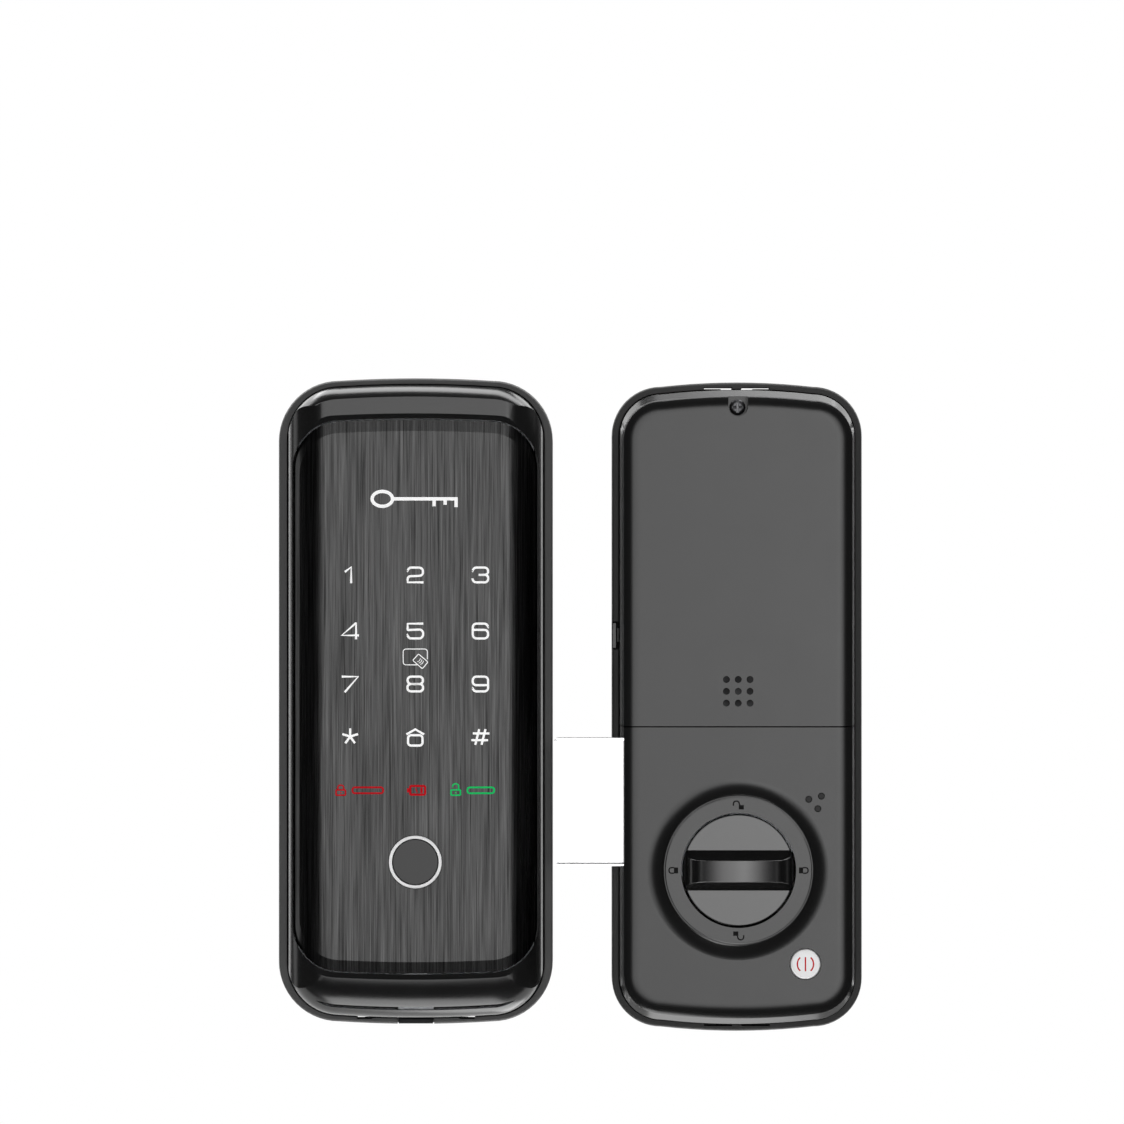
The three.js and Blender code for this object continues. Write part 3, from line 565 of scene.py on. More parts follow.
    def primitive(self, add: Callable[..., set], **settings: object) -> None:
        """Adds a primitive facing out from the door, settles its turn in its mesh and opens it for edits."""
        if bpy.context.object and bpy.context.object.mode == "EDIT":
            bpy.ops.object.mode_set(mode="OBJECT")
        bpy.ops.object.select_all(action="DESELECT")
        settings.setdefault("rotation", (math.pi / 2, 0, 0))
        add(**settings)
        self.object = bpy.context.object
        self.object.name = self.name
        bpy.ops.object.transform_apply(location=True, rotation=True, scale=True)
        self.edit()
        bpy.ops.mesh.select_mode(type="VERT")
        take_all()

    # -- finishing

    def done(self, body: Body, slot: str, replaces: Sequence[str] = (), smooth: float = 32.0,
             finish: bpy.types.Material | None = None) -> bpy.types.Object:
        """Cleans the mesh, dresses the piece and hands it to the frame.

        Args:
            body: The body that it rides on.
            slot: The record's material slot.
            replaces: Nodes of the frame that it stands for.
            smooth: Edges flatter than this angle are shaded smooth.
            finish: Its material, where that isn't the slot's own.

        Returns:
            The finished object.
        """
        self.edit()
        take_all()
        bpy.ops.mesh.remove_doubles(threshold=1e-7)
        bpy.ops.mesh.dissolve_degenerate(threshold=1e-7)
        take_all()
        bpy.ops.mesh.normals_make_consistent(inside=False)
        self.stop()
        bpy.ops.object.shade_smooth_by_angle(angle=math.radians(smooth))
        even = self.object.modifiers.new("even", "WEIGHTED_NORMAL")
        even.weight = 100
        even.keep_sharp = True
        bpy.ops.object.modifier_apply(modifier=even.name)
        piece = self.object
        piece.name = self.name
        piece.data.name = self.name
        piece.data.materials.clear()
        piece.data.materials.append(finish or material(slot))
        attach(piece, body.value)
        if replaces:
            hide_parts(*replaces)
        log.info("%s: %d faces on %s", self.name, len(piece.data.polygons), body.value)
        return piece


def stroke(name: str, points: Sequence[Pair], width: float, depth: float, closed: bool = False) -> Bench:
    """Draws a printed line of one width: a drawn edge made a round cord, then pressed flat.

    Args:
        name: The piece's name.
        points: The line's middle, in X and Z.
        width: The line's width.
        depth: The surface that it lies on.
        closed: Whether it ends where it began.

    Returns:
        The bench that holds it.
    """
    bench = Bench(name)
    bench.primitive(bpy.ops.mesh.primitive_plane_add, size=MM)
    bpy.ops.mesh.merge(type="CENTER")
    bpy.ops.transform.translate(value=(points[0][0] * MM, 0, points[0][1] * MM))
    route = list(points) + ([points[0]] if closed else [])
    for before, after in pairwise(route):
        step = ((after[0] - before[0]) * MM, 0, (after[1] - before[1]) * MM)
        draw_out(step)
    if closed:
        take_all()
        bpy.ops.mesh.remove_doubles(threshold=1e-6)
    bench.stop()
    bpy.ops.object.convert(target="CURVE")
    cord = bpy.context.object.data
    cord.bevel_depth = width / 2 * MM
    cord.bevel_resolution = 2
    cord.use_fill_caps = True
    bpy.ops.object.convert(target="MESH")
    bench.object = bpy.context.object
    bench.edit()
    take_all()
    bpy.ops.transform.resize(value=(1, PRESSED, 1), center_override=(0, 0, 0))
    bpy.ops.transform.translate(value=(0, -depth * MM, 0))
    return bench


def gathered(name: str, marks: Sequence[Bench]) -> Bench:
    """Gathers printed strokes into one piece of a new name."""
    first, *rest = marks
    first.name = name
    return first.gather(*rest)


# ------------------------------------------------------------------ materials


class Wire:
    """A number that runs through a material's nodes. Python's operators add the Math nodes."""

    def __init__(self, graph: "Graph", socket: bpy.types.NodeSocket) -> None:
        """Wraps one output socket of a graph."""
        self.graph = graph
        self.socket = socket

    def _math(self, operation: str, first: object, second: object) -> "Wire":
        """Adds one Math node."""
        node = self.graph.node("ShaderNodeMath", {"operation": operation}, {0: first, 1: second})
        return Wire(self.graph, node.outputs[0])

    def __add__(self, other: object) -> "Wire":
        """self + other."""
        return self._math("ADD", self, other)

    def __sub__(self, other: object) -> "Wire":
        """self - other."""
        return self._math("SUBTRACT", self, other)

    def __rsub__(self, other: object) -> "Wire":
        """other - self."""
        return self._math("SUBTRACT", other, self)

    def __mul__(self, other: object) -> "Wire":
        """self * other."""
        return self._math("MULTIPLY", self, other)

    def above(self, limit: float) -> "Wire":
        """1 where the number is over a limit, and otherwise 0."""
        return self._math("GREATER_THAN", self, limit)

    def size(self) -> "Wire":
        """The number without its sign."""
        return self._math("ABSOLUTE", self, 0.0)

    __radd__ = __add__
    __rmul__ = __mul__


class Graph:
    """A material's node tree, with a Principled shader at its end."""

    def __init__(self, name: str) -> None:
        """Makes the material with its shader, output and Object coordinates."""
        self.material = bpy.data.materials.new(name)
        self.material.use_nodes = True
        self.material.node_tree.nodes.clear()
        self.shader = self.node("ShaderNodeBsdfPrincipled")
        self.node("ShaderNodeOutputMaterial", {}, {"Surface": self.shader.outputs["BSDF"]})
        self.place = self.node("ShaderNodeTexCoord").outputs["Object"]

    def node(self, kind: str, settings: dict[str, object] | None = None,
             inputs: dict[object, object] | None = None) -> bpy.types.Node:
        """Adds one node.

        Args:
            kind: Blender's name for the node's type.
            settings: Its properties, set first; "stops" sets a colour ramp's stops.
            inputs: Values or links for its sockets, by name or number.

        Returns:
            The node.
        """
        node = self.material.node_tree.nodes.new(kind)
        for key, value in (settings or {}).items():
            if key == "stops":
                ramp = node.color_ramp
                for _ in range(len(value) - len(ramp.elements)):
                    ramp.elements.new(0.5)
                for element, (position, shade) in zip(ramp.elements, value):
                    element.position = position
                    element.color = (shade, shade, shade, 1)
            else:
                setattr(node, key, value)
        for key, value in (inputs or {}).items():
            self.feed(node.inputs[key], value)
        return node

    def feed(self, socket: bpy.types.NodeSocket, value: object) -> None:
        """Links a wire or output to a socket, or sets its value."""
        if isinstance(value, Wire):
            value = value.socket
        if isinstance(value, bpy.types.NodeSocket):
            self.material.node_tree.links.new(value, socket)
        elif socket.type == "RGBA" and len(value) == 3:
            socket.default_value = (*value, 1)
        else:
            socket.default_value = value

    def noise(self, size: float, detail: float = 2.0, stretch: Sequence[float] = (1, 1, 1)) -> Wire:
        """Adds noise.

        Args:
            size: Its grain in millimetres.
            detail: Octaves of finer grain.
            stretch: How many times longer the grain is along X, Y and Z.

        Returns:
            The noise, from 0 to 1 with its middle near 0.5.
        """
        scale = [1 / (size * MM * s) for s in stretch]
        mapped = self.node("ShaderNodeMapping", {}, {"Vector": self.place, "Scale": scale})
        inputs = {"Vector": mapped.outputs[0], "Scale": 1.0, "Detail": detail}
        return Wire(self, self.node("ShaderNodeTexNoise", {}, inputs).outputs["Fac"])

    def ramp(self, wire: Wire, stops: Sequence[Pair]) -> Wire:
        """Passes a number through a grey ramp of position and value pairs."""
        return Wire(self, self.node("ShaderNodeValToRGB", {"stops": stops}, {"Fac": wire}).outputs["Color"])

    def mix(self, factor: object, first: object, second: object) -> bpy.types.NodeSocket:
        """Mixes two colours by a factor."""
        node = self.node("ShaderNodeMix", {"data_type": "RGBA"})
        self.feed(node.inputs[0], factor)
        self.feed(node.inputs[6], first)
        self.feed(node.inputs[7], second)
        return node.outputs[2]

    def axis(self, name: str) -> Wire:
        """One of the Object coordinates, in metres."""
        return Wire(self, self.node("ShaderNodeSeparateXYZ", {}, {0: self.place}).outputs[name])

    def bump(self, height: Wire, tall: float) -> None:
        """Feeds a height, in millimetres at its full value, to the shader's normal."""
        inputs = {"Height": height, "Distance": tall * MM, "Strength": 1.0}
        self.feed(self.shader.inputs["Normal"], self.node("ShaderNodeBump", {}, inputs).outputs[0])

    def surface(self, **sockets: object) -> bpy.types.Material:
        """Sets the shader's sockets, their names in lower case with low lines, and returns the material."""
        for name, value in sockets.items():
            known = {socket.name.lower().replace(" ", "_"): socket for socket in self.shader.inputs}
            self.feed(known[name], value)
        return self.material


def lighter(colour: Colour, times: float) -> Colour:
    """A colour made lighter or darker."""
    return tuple(min(channel * times, 1.0) for channel in colour)


@dataclass(frozen=True)
class Moulded:
    """Paint, moulded plastic or rubber with a fine grain and slightly uneven gloss."""

    name: str
    colour: Colour
    roughness: float
    grain: float = 0.35
    relief: float = 0.004
    spread: float = 0.12
    metallic: float = 0.0
    specular: float = 0.5

    def build(self) -> bpy.types.Material:
        """Returns the material."""
        graph = Graph(self.name)
        cloud = graph.noise(9.0, 3.0)
        grain = graph.noise(self.grain, 2.0)
        dark, light = (lighter(self.colour, 1 + side * self.spread) for side in (-1, 1))
        colour = graph.mix(cloud, dark, light)
        graph.bump(grain, self.relief)
        roughness = self.roughness - 0.03 + cloud * 0.04 + grain * 0.02
        return graph.surface(base_color=colour, roughness=roughness, metallic=self.metallic,
                             specular_ior_level=self.specular)


@dataclass(frozen=True)
class BrushedFilm:
    """A dark metallic film with fine upright streaks, under a clear smooth face."""

    name: str
    dark: Colour
    light: Colour
    roughness: float

    def build(self) -> bpy.types.Material:
        """Returns the material."""
        graph = Graph(self.name)
        fine = graph.noise(0.3, 2.0, (1, 30, 60))
        broad = graph.noise(1.1, 3.0, (1, 20, 34))
        hair = graph.noise(0.15, 1.0, (1, 60, 130))
        streak = fine * 0.42 + broad * 0.3 + hair * 0.28
        shade = graph.ramp(streak, [(0.36, 0.0), (0.49, 0.45), (0.53, 0.55), (0.64, 1.0)])
        return graph.surface(base_color=graph.mix(shade, self.dark, self.light), metallic=1.0,
                             roughness=self.roughness + fine * 0.05, coat_roughness=0.05, coat_weight=0.1)


@dataclass(frozen=True)
class BrushedMetal:
    """Plated or rolled metal with short fine lines along one direction."""

    name: str
    colour: Colour
    roughness: float
    stretch: tuple[float, float, float] = (30, 1, 1)

    def build(self) -> bpy.types.Material:
        """Returns the material."""
        graph = Graph(self.name)
        lines = graph.noise(0.12, 2.0, self.stretch)
        cloud = graph.noise(6.0, 2.0)
        colour = graph.mix(lines, lighter(self.colour, 0.9), lighter(self.colour, 1.06))
        graph.bump(lines, 0.0015)
        return graph.surface(base_color=colour, metallic=1.0, roughness=self.roughness + cloud * 0.06 - 0.03)


@dataclass(frozen=True)
class Ink:
    """A thin printed layer, a little uneven in its cover. Its glow is painted light: an emission that
    brightens the print though no lamp lights it.
    """

    name: str
    colour: Colour
    # painted light: an emission that makes the print shine though it is no lamp
    painted_glow: float = 0.0

    def build(self) -> bpy.types.Material:
        """Returns the material."""
        graph = Graph(self.name)
        cover = graph.noise(0.5, 3.0)
        colour = graph.mix(cover, lighter(self.colour, 0.94), self.colour)
        # the emission strength is a painted glow
        return graph.surface(base_color=colour, roughness=0.5 + cover * 0.1, specular_ior_level=0.06,
                             emission_color=self.colour, emission_strength=self.painted_glow)


@dataclass(frozen=True)
class CircuitBoard:
    """Solder mask over copper tracks, with tinned pads."""

    name: str
    mask: Colour
    track: Colour

    def build(self) -> bpy.types.Material:
        """Returns the material."""
        graph = Graph(self.name)
        scale = [1 / (1.3 * MM)] * 3
        mapped = graph.node("ShaderNodeMapping", {}, {"Vector": graph.place, "Scale": scale})
        settings = {"feature": "DISTANCE_TO_EDGE"}
        cells = graph.node("ShaderNodeTexVoronoi", settings, {"Vector": mapped.outputs[0], "Scale": 0.35})
        edge = Wire(graph, cells.outputs["Distance"])
        track = 1 - edge.above(0.12)
        graph.bump(track, 0.03)
        colour = graph.mix(track, self.mask, self.track)
        return graph.surface(base_color=colour, roughness=0.3 + graph.noise(3.0) * 0.1)


@dataclass(frozen=True)
class CellWrap:
    """The printed sleeve of a dry cell: a bright band at its positive end, plain metal at its caps."""

    name: str
    sleeve: Colour
    band: Colour
    middle: float
    half_length: float
    positive: int

    def build(self) -> bpy.types.Material:
        """Returns the material."""
        graph = Graph(self.name)
        across = graph.axis("X") * (self.positive / MM) - self.positive * self.middle
        banded = across.above(self.half_length * 0.42)
        caps = across.size().above(self.half_length - 1.6)
        worn = graph.noise(2.0, 3.0)
        sleeve = graph.mix(worn, lighter(self.sleeve, 0.85), lighter(self.sleeve, 1.15))
        colour = graph.mix(caps, graph.mix(banded, sleeve, self.band), (0.62, 0.62, 0.63))
        return graph.surface(base_color=colour, metallic=0.15 + 0.85 * caps, roughness=0.28 + worn * 0.1)


BLACK: Colour = (0.0055, 0.0055, 0.0055)

FINISHES = {
    "satin_black": Moulded("satin_black", BLACK, 0.21, grain=0.3, relief=0.0012, specular=0.5),
    "frame_black": Moulded("frame_black", (0.03, 0.03, 0.03), 0.5, grain=0.25, relief=0.003, specular=0.25),
    "brushed_panel": BrushedFilm("brushed_panel", (0.010, 0.010, 0.010), (0.072, 0.072, 0.072), 0.25),
    # a lighter copy of frame_black for the keypad's rim: its extra lightness is painted light
    "frame_grey": Moulded("frame_grey", (0.056, 0.056, 0.056), 0.5, grain=0.25, relief=0.003, specular=0.25),
    "knob_grey": Moulded("knob_grey", (0.082, 0.082, 0.082), 0.24, metallic=1.0, relief=0.001, spread=0.05),
    "dial_grey": Moulded("dial_grey", (0.056, 0.056, 0.056), 0.26, metallic=1.0, relief=0.001, spread=0.05),
    "bolt_steel": BrushedMetal("bolt_steel", (0.86, 0.86, 0.87), 0.24, (1, 1, 60)),
    "steel": BrushedMetal("steel", (0.52, 0.53, 0.55), 0.36),
    "black_steel": Moulded("black_steel", (0.12, 0.12, 0.125), 0.34, metallic=1.0, relief=0.002),
    "rubber": Moulded("rubber", (0.014, 0.014, 0.015), 0.72, grain=0.5, relief=0.01, specular=0.25),
    "board": CircuitBoard("board", (0.012, 0.09, 0.03), (0.03, 0.19, 0.07)),
    "copper": BrushedMetal("copper", (0.72, 0.36, 0.2), 0.3),
    "spring": BrushedMetal("spring", (0.78, 0.72, 0.55), 0.28),
    "inner_plastic": Moulded("inner_plastic", (0.035, 0.035, 0.037), 0.48, relief=0.004),
    "white_plastic": Moulded("white_plastic", (0.8, 0.8, 0.8), 0.3, relief=0.001, spread=0.01),
    "acetal": Moulded("acetal", (0.74, 0.72, 0.66), 0.4, relief=0.002, spread=0.03),
    "lens": Moulded("lens", (0.034, 0.034, 0.034), 0.2, metallic=1.0, relief=0.0005, spread=0.05),
    "smoked": Moulded("smoked", (0.016, 0.016, 0.016), 0.25, metallic=1.0, relief=0.0005, spread=0.05),
    # white_ink carries a painted glow that brightens the white print
    "white_ink": Ink("white_ink", (0.93, 0.93, 0.93), 0.2),
    "red_ink": Ink("red_ink", (0.5, 0.003, 0.009)),
    "green_ink": Ink("green_ink", (0.004, 0.56, 0.13)),
    "grey_ink": Ink("grey_ink", (0.009, 0.009, 0.009)),
}
_materials: dict[str, bpy.types.Material] = {}


def material(name: str) -> bpy.types.Material:
    """Returns the material of a finish, built when it is first asked for."""
    if name not in _materials:
        _materials[name] = FINISHES[name].build()
    return _materials[name]


# ------------------------------------------------------------------ keypad unit


@dataclass
class KeypadCase:
    """The keypad unit's gasket, base frame, housing and port flap."""

    corner: float = 15.4
    crown: float = 0.64
    rim_side: float = 2.05
    rim_end: float = 1.4
    rim_edge: tuple[Pair, ...] = ((0.35, 0.12), (0.22, 0.2), (0.13, 0.28))
    housing: Outline = Outline(32.6, 80.8, 13.2, 0.64)
    back: float = 3.6
    waist: float = 15.3
    front: float = 21.8
    flat: float = 23.0
    roll: float = 10.0
    shoulder: float = 3.1
    shoulder_start: float = 18.5
    shoulder_angles: Pair = (62.0, 22.0)
    chin: float = 10.2
    lip: float = 1.3
    lip_depth: float = 0.5
    gap: float = 0.3
    drain: tuple[float, float, float, float] = (13.1, 2.0, -81.3, -80.75)
    cable_way: tuple[float, float, float, float] = (-10, 10, 22, 38)
    bolts: tuple[float, float] = (62.5, -71.0)
    bolt_hole: float = 2.6

    def build(self) -> None:
        """Builds the four pieces."""
        self.span = Span.of("keypad_base_frame")
        self.outline = Outline(self.span.half_width, self.span.half_height, self.corner, self.crown)
        self.gasket()
        self.base_frame()
        self.face()
        self.flap()

    def drains(self) -> list[Bench]:
        """The two water slots under the unit, as solids to cut away."""
        x, half, low, high = self.drain
        return [Bench("drain").box(side * x - half, side * x + half, low, high, -1, 14) for side in (-1, 1)]

    def gasket(self) -> None:
        """A rubber sheet over the whole back, with its cable way and bolt holes."""
        shaft = [(self.bolt_hole, -1), (self.bolt_hole, 6)]
        holes = [Bench("hole").turned(shaft, 0, z, 48) for z in self.bolts]
        back = Span.of("keypad_gasket").front
        sheet = Bench("gasket_sheet").slab(self.outline.inset(1.0), 0, back)
        sheet.cut(*self.drains(), *holes, Bench("way").box(*self.cable_way, -1, 6)).soften(0.2, 2)
        sheet.done(Body.LOCK, "rubber", ["keypad_gasket"])

    def base_frame(self) -> None:
        """The moulded frame whose edge shows as a rim round the housing."""
        rim = Bench("keypad_rim").plate(self.outline, self.span.back)
        rim.rise_rounded(self.span.front - self.span.back, self.rim_edge)
        flap = Span.of("port_flap")
        rim.cut(
            Bench("well").slab(self.outline.inset(self.rim_side, self.rim_end), 3.3, self.span.front + 1),
            Bench("rear").slab(self.outline.inset(4.5), 1, 4),
            Bench("flap_slot").box(flap.left - self.gap, flap.right + self.gap, -84, -80, 4.0, 14),
            *self.drains())
        rim.soften(0.15, 2)
        # the rim wears a lighter copy of frame_black, whose extra lightness is painted light
        rim.done(Body.LOCK, "frame_black", ["keypad_base_frame"], finish=material("frame_grey"))

    def face(self) -> None:
        """The painted housing: a bright shoulder at the top, rolled sides and a long rounded chin."""
        shell = Bench("keypad_housing").plate(self.housing, self.back).rise(self.waist - self.back)
        rings = 20
        before = self.insets(self.waist)
        depth = self.waist
        for k in range(1, rings + 1):
            following = self.waist + (self.front - self.waist) * math.sin(math.pi / 2 * k / rings)
            now = self.insets(following)
            side, top, bottom = (b - a for a, b in zip(before, now))
            shell.rise(following - depth, side, top, bottom)
            before, depth = now, following
        shell.outward()
        glass = Span.of("touch_glass")
        opening = Outline(glass.half_width + self.gap, glass.half_height + self.gap, 12.2, 0.5, 0, glass.z)
        cutter = Bench("opening").plate(opening, 8).rise(self.front - self.lip_depth - 8)
        cutter.flare(self.lip_depth, self.lip, opening).rise(6).outward()
        hollow = Bench("hollow").slab(self.housing.inset(2.0), 3, 19.8)
        hollow.common(rolled("hollow_front", 19.8, 2.9, 32.6, self.flat, self.roll))
        shell.common(rolled("rolled_front", self.front, self.back, 33.0, self.flat, self.roll))
        shell.cut(hollow, cutter, Bench("port_way").box(-4.8, 4.8, -82, -76, 6.0, 11.6))
        shell.soften(0.05, 2, 35).done(Body.LOCK, "satin_black", ["front_housing"], 18)

    def insets(self, depth: float) -> tuple[float, float, float]:
        """How far the housing draws in at one depth.

        Args:
            depth: The depth.

        Returns:
            The insets of the sides, the top and the bottom.
        """
        crest = self.front - 0.3
        rise = (depth - self.waist) / (self.front - self.waist)
        chin = self.chin * (1 - math.sqrt(max(1 - rise * rise, 0.0)))
        steep, slack = (math.radians(angle) for angle in self.shoulder_angles)
        climbed = min(max((depth - self.shoulder_start) / (crest - self.shoulder_start), 0.0), 1.0)
        angle = math.acos(math.cos(steep) + climbed * (math.cos(slack) - math.cos(steep)))
        top = self.shoulder * (math.sin(steep) - math.sin(angle)) / (math.sin(steep) - math.sin(slack))
        return 1.0 * climbed ** 2, top, chin

    def flap(self) -> None:
        """The rubber flap over the emergency port, with a finger ridge."""
        span = Span.of("port_flap")
        lid = Bench("flap_lid").box(span.left, span.right, span.bottom, span.top, span.back, span.front - 0.5)
        lip = Bench("lip").box(span.left + 0.5, span.right - 0.5, span.bottom + 0.2, span.top - 0.2,
                               span.back, span.front)
        lid.join(lip).soften(0.15, 3).done(Body.FLAP, "rubber", ["port_flap"])


def rolled(name: str, front: float, back: float, half_width: float, flat: float, roll: float) -> Bench:
    """A tall block whose front is flat in the middle and rolls back at both sides.

    Args:
        name: A name for the solid.
        front: Depth of the flat front.
        back: Depth of its back.
        half_width: Half of its width.
        flat: Half of the width of the flat part.
        roll: Radius of the rolled sides.

    Returns:
        The bench that holds it.
    """
    steps = 16
    widest = math.asin(min((half_width - flat) / roll, 0.999))
    arc = [(flat + roll * math.sin(widest * k / steps), front - roll + roll * math.cos(widest * k / steps))
           for k in range(steps + 1)]
    right = [(half_width, back)] + list(reversed(arc))
    outline = right + [(-x, depth) for x, depth in reversed(right)]
    return Bench(name).prism(outline, -90, 90, Along.HEIGHT)


@dataclass
class TouchPanel:
    """The glass with its printed marks, and the fingerprint reader."""

    corner: float = 12.0
    crown: float = 0.5
    flat: float = 23.0
    roll: float = 10.0
    bevel_length: float = 2.9
    bevel_side: float = 1.5
    bevel_drop: float = 0.36
    finger_z: float = -40.9
    columns: tuple[float, float, float] = (-16.6, 0.0, 16.6)
    rows: tuple[float, float, float, float] = (32.3, 18.0, 4.5, -9.0)
    line: float = 0.56
    key_z: float = 51.7
    card_z: float = 11.4
    status_z: float = -22.6

    def build(self) -> None:
        """Builds the glass, the marks and the reader."""
        self.span = Span.of("touch_glass")
        self.face = self.span.front + 0.004
        self.glass()
        self.reader()
        self.numerals()
        self.key_mark()
        self.card_mark()
        self.status_marks()

    def glass(self) -> None:
        """The rolled panel with a sloped strip at each end."""
        span = self.span
        outline = Outline(span.half_width, span.half_height, self.corner, self.crown, 0, span.z)
        panel = Bench("glass_panel").plate(outline, 19.6).rise(span.front - self.bevel_drop - 19.6)
        panel.rise(self.bevel_drop, self.bevel_side, self.bevel_length, self.bevel_length).outward()
        panel.roll_sides(self.flat, self.roll, 14)
        backing = Bench("backing").slab(outline.inset(0.02), span.back, 20.3)
        backing.common(rolled("roll", 20.3, span.back - 1, 31.4, self.flat, self.roll))
        panel.join(backing)
        eye = Span.of("fingerprint_ring").half_width + 0.15
        panel.cut(Bench("pocket").box(-24, 24, -65.5, 67.5, 15, 19.3),
                  Bench("eye").turned([(eye, 15), (eye, 25)], 0, self.finger_z))
        panel.soften(0.1, 2, 40)
        panel.done(Body.LOCK, "brushed_panel", ["touch_glass"], 6)

    def reader(self) -> None:
        """The white ring and the smooth disc inside it."""
        ring = Span.of("fingerprint_ring")
        inner = 5.95
        white = Bench("reader_ring").turned([(ring.half_width, ring.back), (ring.half_width, ring.front)],
                                            0, self.finger_z)
        white.cut(Bench("bore").turned([(inner, 17), (inner, 22)], 0, self.finger_z)).soften(0.08, 2)
        white.done(Body.LOCK, "white_plastic", ["fingerprint_ring"])
        profile = [(7.4, 13.2), (7.4, 15.4), (5.85, 15.6), (5.85, 20.75), (5.78, 20.92), (5.62, 21.0)]
        lens = Bench("reader_lens").turned(profile, 0, self.finger_z)
        lens.done(Body.LOCK, "lens", ["fingerprint_sensor"])

    def numerals(self) -> None:
        """The twelve keys: wide squared figures, a star, a hash and a nought under a roof."""
        wide, tall, round_ = 1.95, 1.88, 0.95
        star = [[(0, 0.1), (2.1 * math.sin(a), 0.1 + 2.1 * math.cos(a))]
                for a in (math.radians(72 * k) for k in range(5))]
        loop = [(-1.85, 0.45, 0.8), (1.85, 0.45, 0.8), (1.85, -2.2, 0.8), (-1.85, -2.2, 0.8)]
        six = [(1.95, 0.95), (wide, tall, round_), (-wide, tall, round_), (-wide, -tall, round_),
               (wide, -tall, round_), (wide, 0.3, 0.9), (-1.8, 0.3)]
        figures = [
            [[(-1.35, 0.75), (0.25, 2.0), (0.25, -2.1)]],
            [[(-wide, 0.95), (-wide, tall, round_), (wide, tall, round_), (wide, -0.2, 0.9),
              (-wide, -0.35, 0.75), (-wide, -tall), (2.1, -tall)]],
            [[(-wide, 0.95), (-wide, tall, round_), (wide, tall, 0.9), (wide, 0.02, 0.85), (-0.45, 0.02)],
             [(-0.4, 0.02), (2.0, 0.02, 0.85), (2.0, -tall, 0.9), (-2.0, -tall, round_), (-2.0, -0.9)]],
            [[(2.25, -1.1), (-2.15, -1.1), (1.35, 1.95), (1.5, 1.95), (1.5, -2.1)]],
            [[(2.05, tall), (-1.95, tall), (-1.95, 0.25, 0.2), (2.0, 0.42, 1.0), (2.0, -tall, 1.0),
              (-2.0, -tall, 1.0), (-2.0, -0.95)]],
            [six],
            [[(-2.15, tall), (2.05, tall), (-1.4, -2.1)]],
            [[(-wide, tall, 0.88), (wide, tall, 0.88), (wide, 0.0, 0.88), (-wide, 0.0, 0.88)],
             [(-2.0, 0.0, 0.9), (2.0, 0.0, 0.9), (2.0, -tall, 0.9), (-2.0, -tall, 0.9)]],
            [[(-point[0], -point[1], *point[2:]) for point in six]],
            star,
            [loop, [(-2.25, 0.65), (0, 1.95), (2.25, 0.65)]],
            [[(-1.95, 0.9), (2.3, 0.9)], [(-2.3, -0.82), (1.95, -0.82)],
             [(-0.3, 2.0), (-1.3, -2.0)], [(1.3, 2.0), (0.3, -2.0)]],
        ]
        closed = {(7, 0), (7, 1), (10, 0)}
        marks = []
        for key, lines in enumerate(figures):
            x, z = self.columns[key % 3], self.rows[key // 3]
            for number, line in enumerate(lines):
                shut = (key, number) in closed
                points = [(x + a, z + b) for a, b in rounded(line, shut)]
                marks.append(stroke("figure", points, self.line, self.face, shut))
        self.printed("key_figures", marks, "white_ink")

    def printed(self, name: str, marks: list[Bench], ink: str) -> None:
        """Gathers strokes into one printed piece."""
        gathered(name, marks).done(Body.LOCK, "white_plastic", finish=material(ink))

    def key_mark(self) -> None:
        """A plain door key lying across the top of the panel."""
        z = self.key_z
        bow = [(-8.4 + 2.6 * math.cos(a), z + 1.9 * math.sin(a)) for a in
               (math.tau * k / 28 for k in range(28))]
        marks = [stroke("bow", bow, 0.85, self.face, True),
                 stroke("shank", [(-5.6, z), (10.8, z)], 0.85, self.face),
                 stroke("bit", [(10.4, z), (10.4, z - 2.1)], 0.85, self.face),
                 stroke("bit", [(7.6, z), (7.6, z - 1.5)], 0.85, self.face),
                 stroke("bit", [(4.8, z), (4.8, z - 1.9)], 0.85, self.face)]
        self.printed("key_pictogram", marks, "white_ink")

    def card_mark(self) -> None:
        """A card with a small tilted tag at its corner, for the card reader."""
        z, thin = self.card_z, 0.22
        card = [(3.08, z - 0.6), (3.08, z + 2.02, 0.7), (-3.08, z + 2.02, 0.7), (-3.08, z - 2.02, 0.7),
                (0.45, z - 2.02)]
        tag = [(0.83, z + 0.77, 0.25), (3.24, z - 1.3, 0.25), (1.8, z - 3.0, 0.25), (-0.64, z - 0.88, 0.25)]
        marks = [stroke("card", rounded(card), thin, self.face),
                 stroke("tag", rounded(tag, True), thin, self.face, True)]
        along, across = Vector((0.76, -0.65)), Vector((0.65, 0.76))
        middle = Vector((1.3, z - 1.1))
        for k in (-1, 0, 1):
            arc = [middle + along * (0.5 * k) + across * s + along * (0.22 * (1 - (s / 0.6) ** 2))
                   for s in (-0.6, -0.3, 0.0, 0.3, 0.6)]
            marks.append(stroke("wave", [(p.x, p.y) for p in arc], 0.16, self.face))
        self.printed("card_pictogram", marks, "white_ink")

    def padlock(self, x: float, z: float, open_: bool) -> list[Bench]:
        """A small padlock of lines, its shackle closed or swung up."""
        lift, foot = (0.35, 0.75) if open_ else (0.0, 0.1)
        body = rounded([(x - 1.2, z + 0.1, 0.2), (x + 1.2, z + 0.1, 0.2), (x + 1.2, z - 1.25, 0.2),
                        (x - 1.2, z - 1.25, 0.2)], True, 3)
        top = z + 1.3 + lift
        legs = [(x - 0.75, z + foot), (x - 0.75, top, 0.6), (x + 0.75, top, 0.6), (x + 0.75, z + 0.1)]
        return [stroke("lock", body, 0.4, self.face, True), stroke("shackle", rounded(legs), 0.36, self.face),
                stroke("keyhole", [(x, z - 0.45), (x, z - 0.75)], 0.4, self.face)]

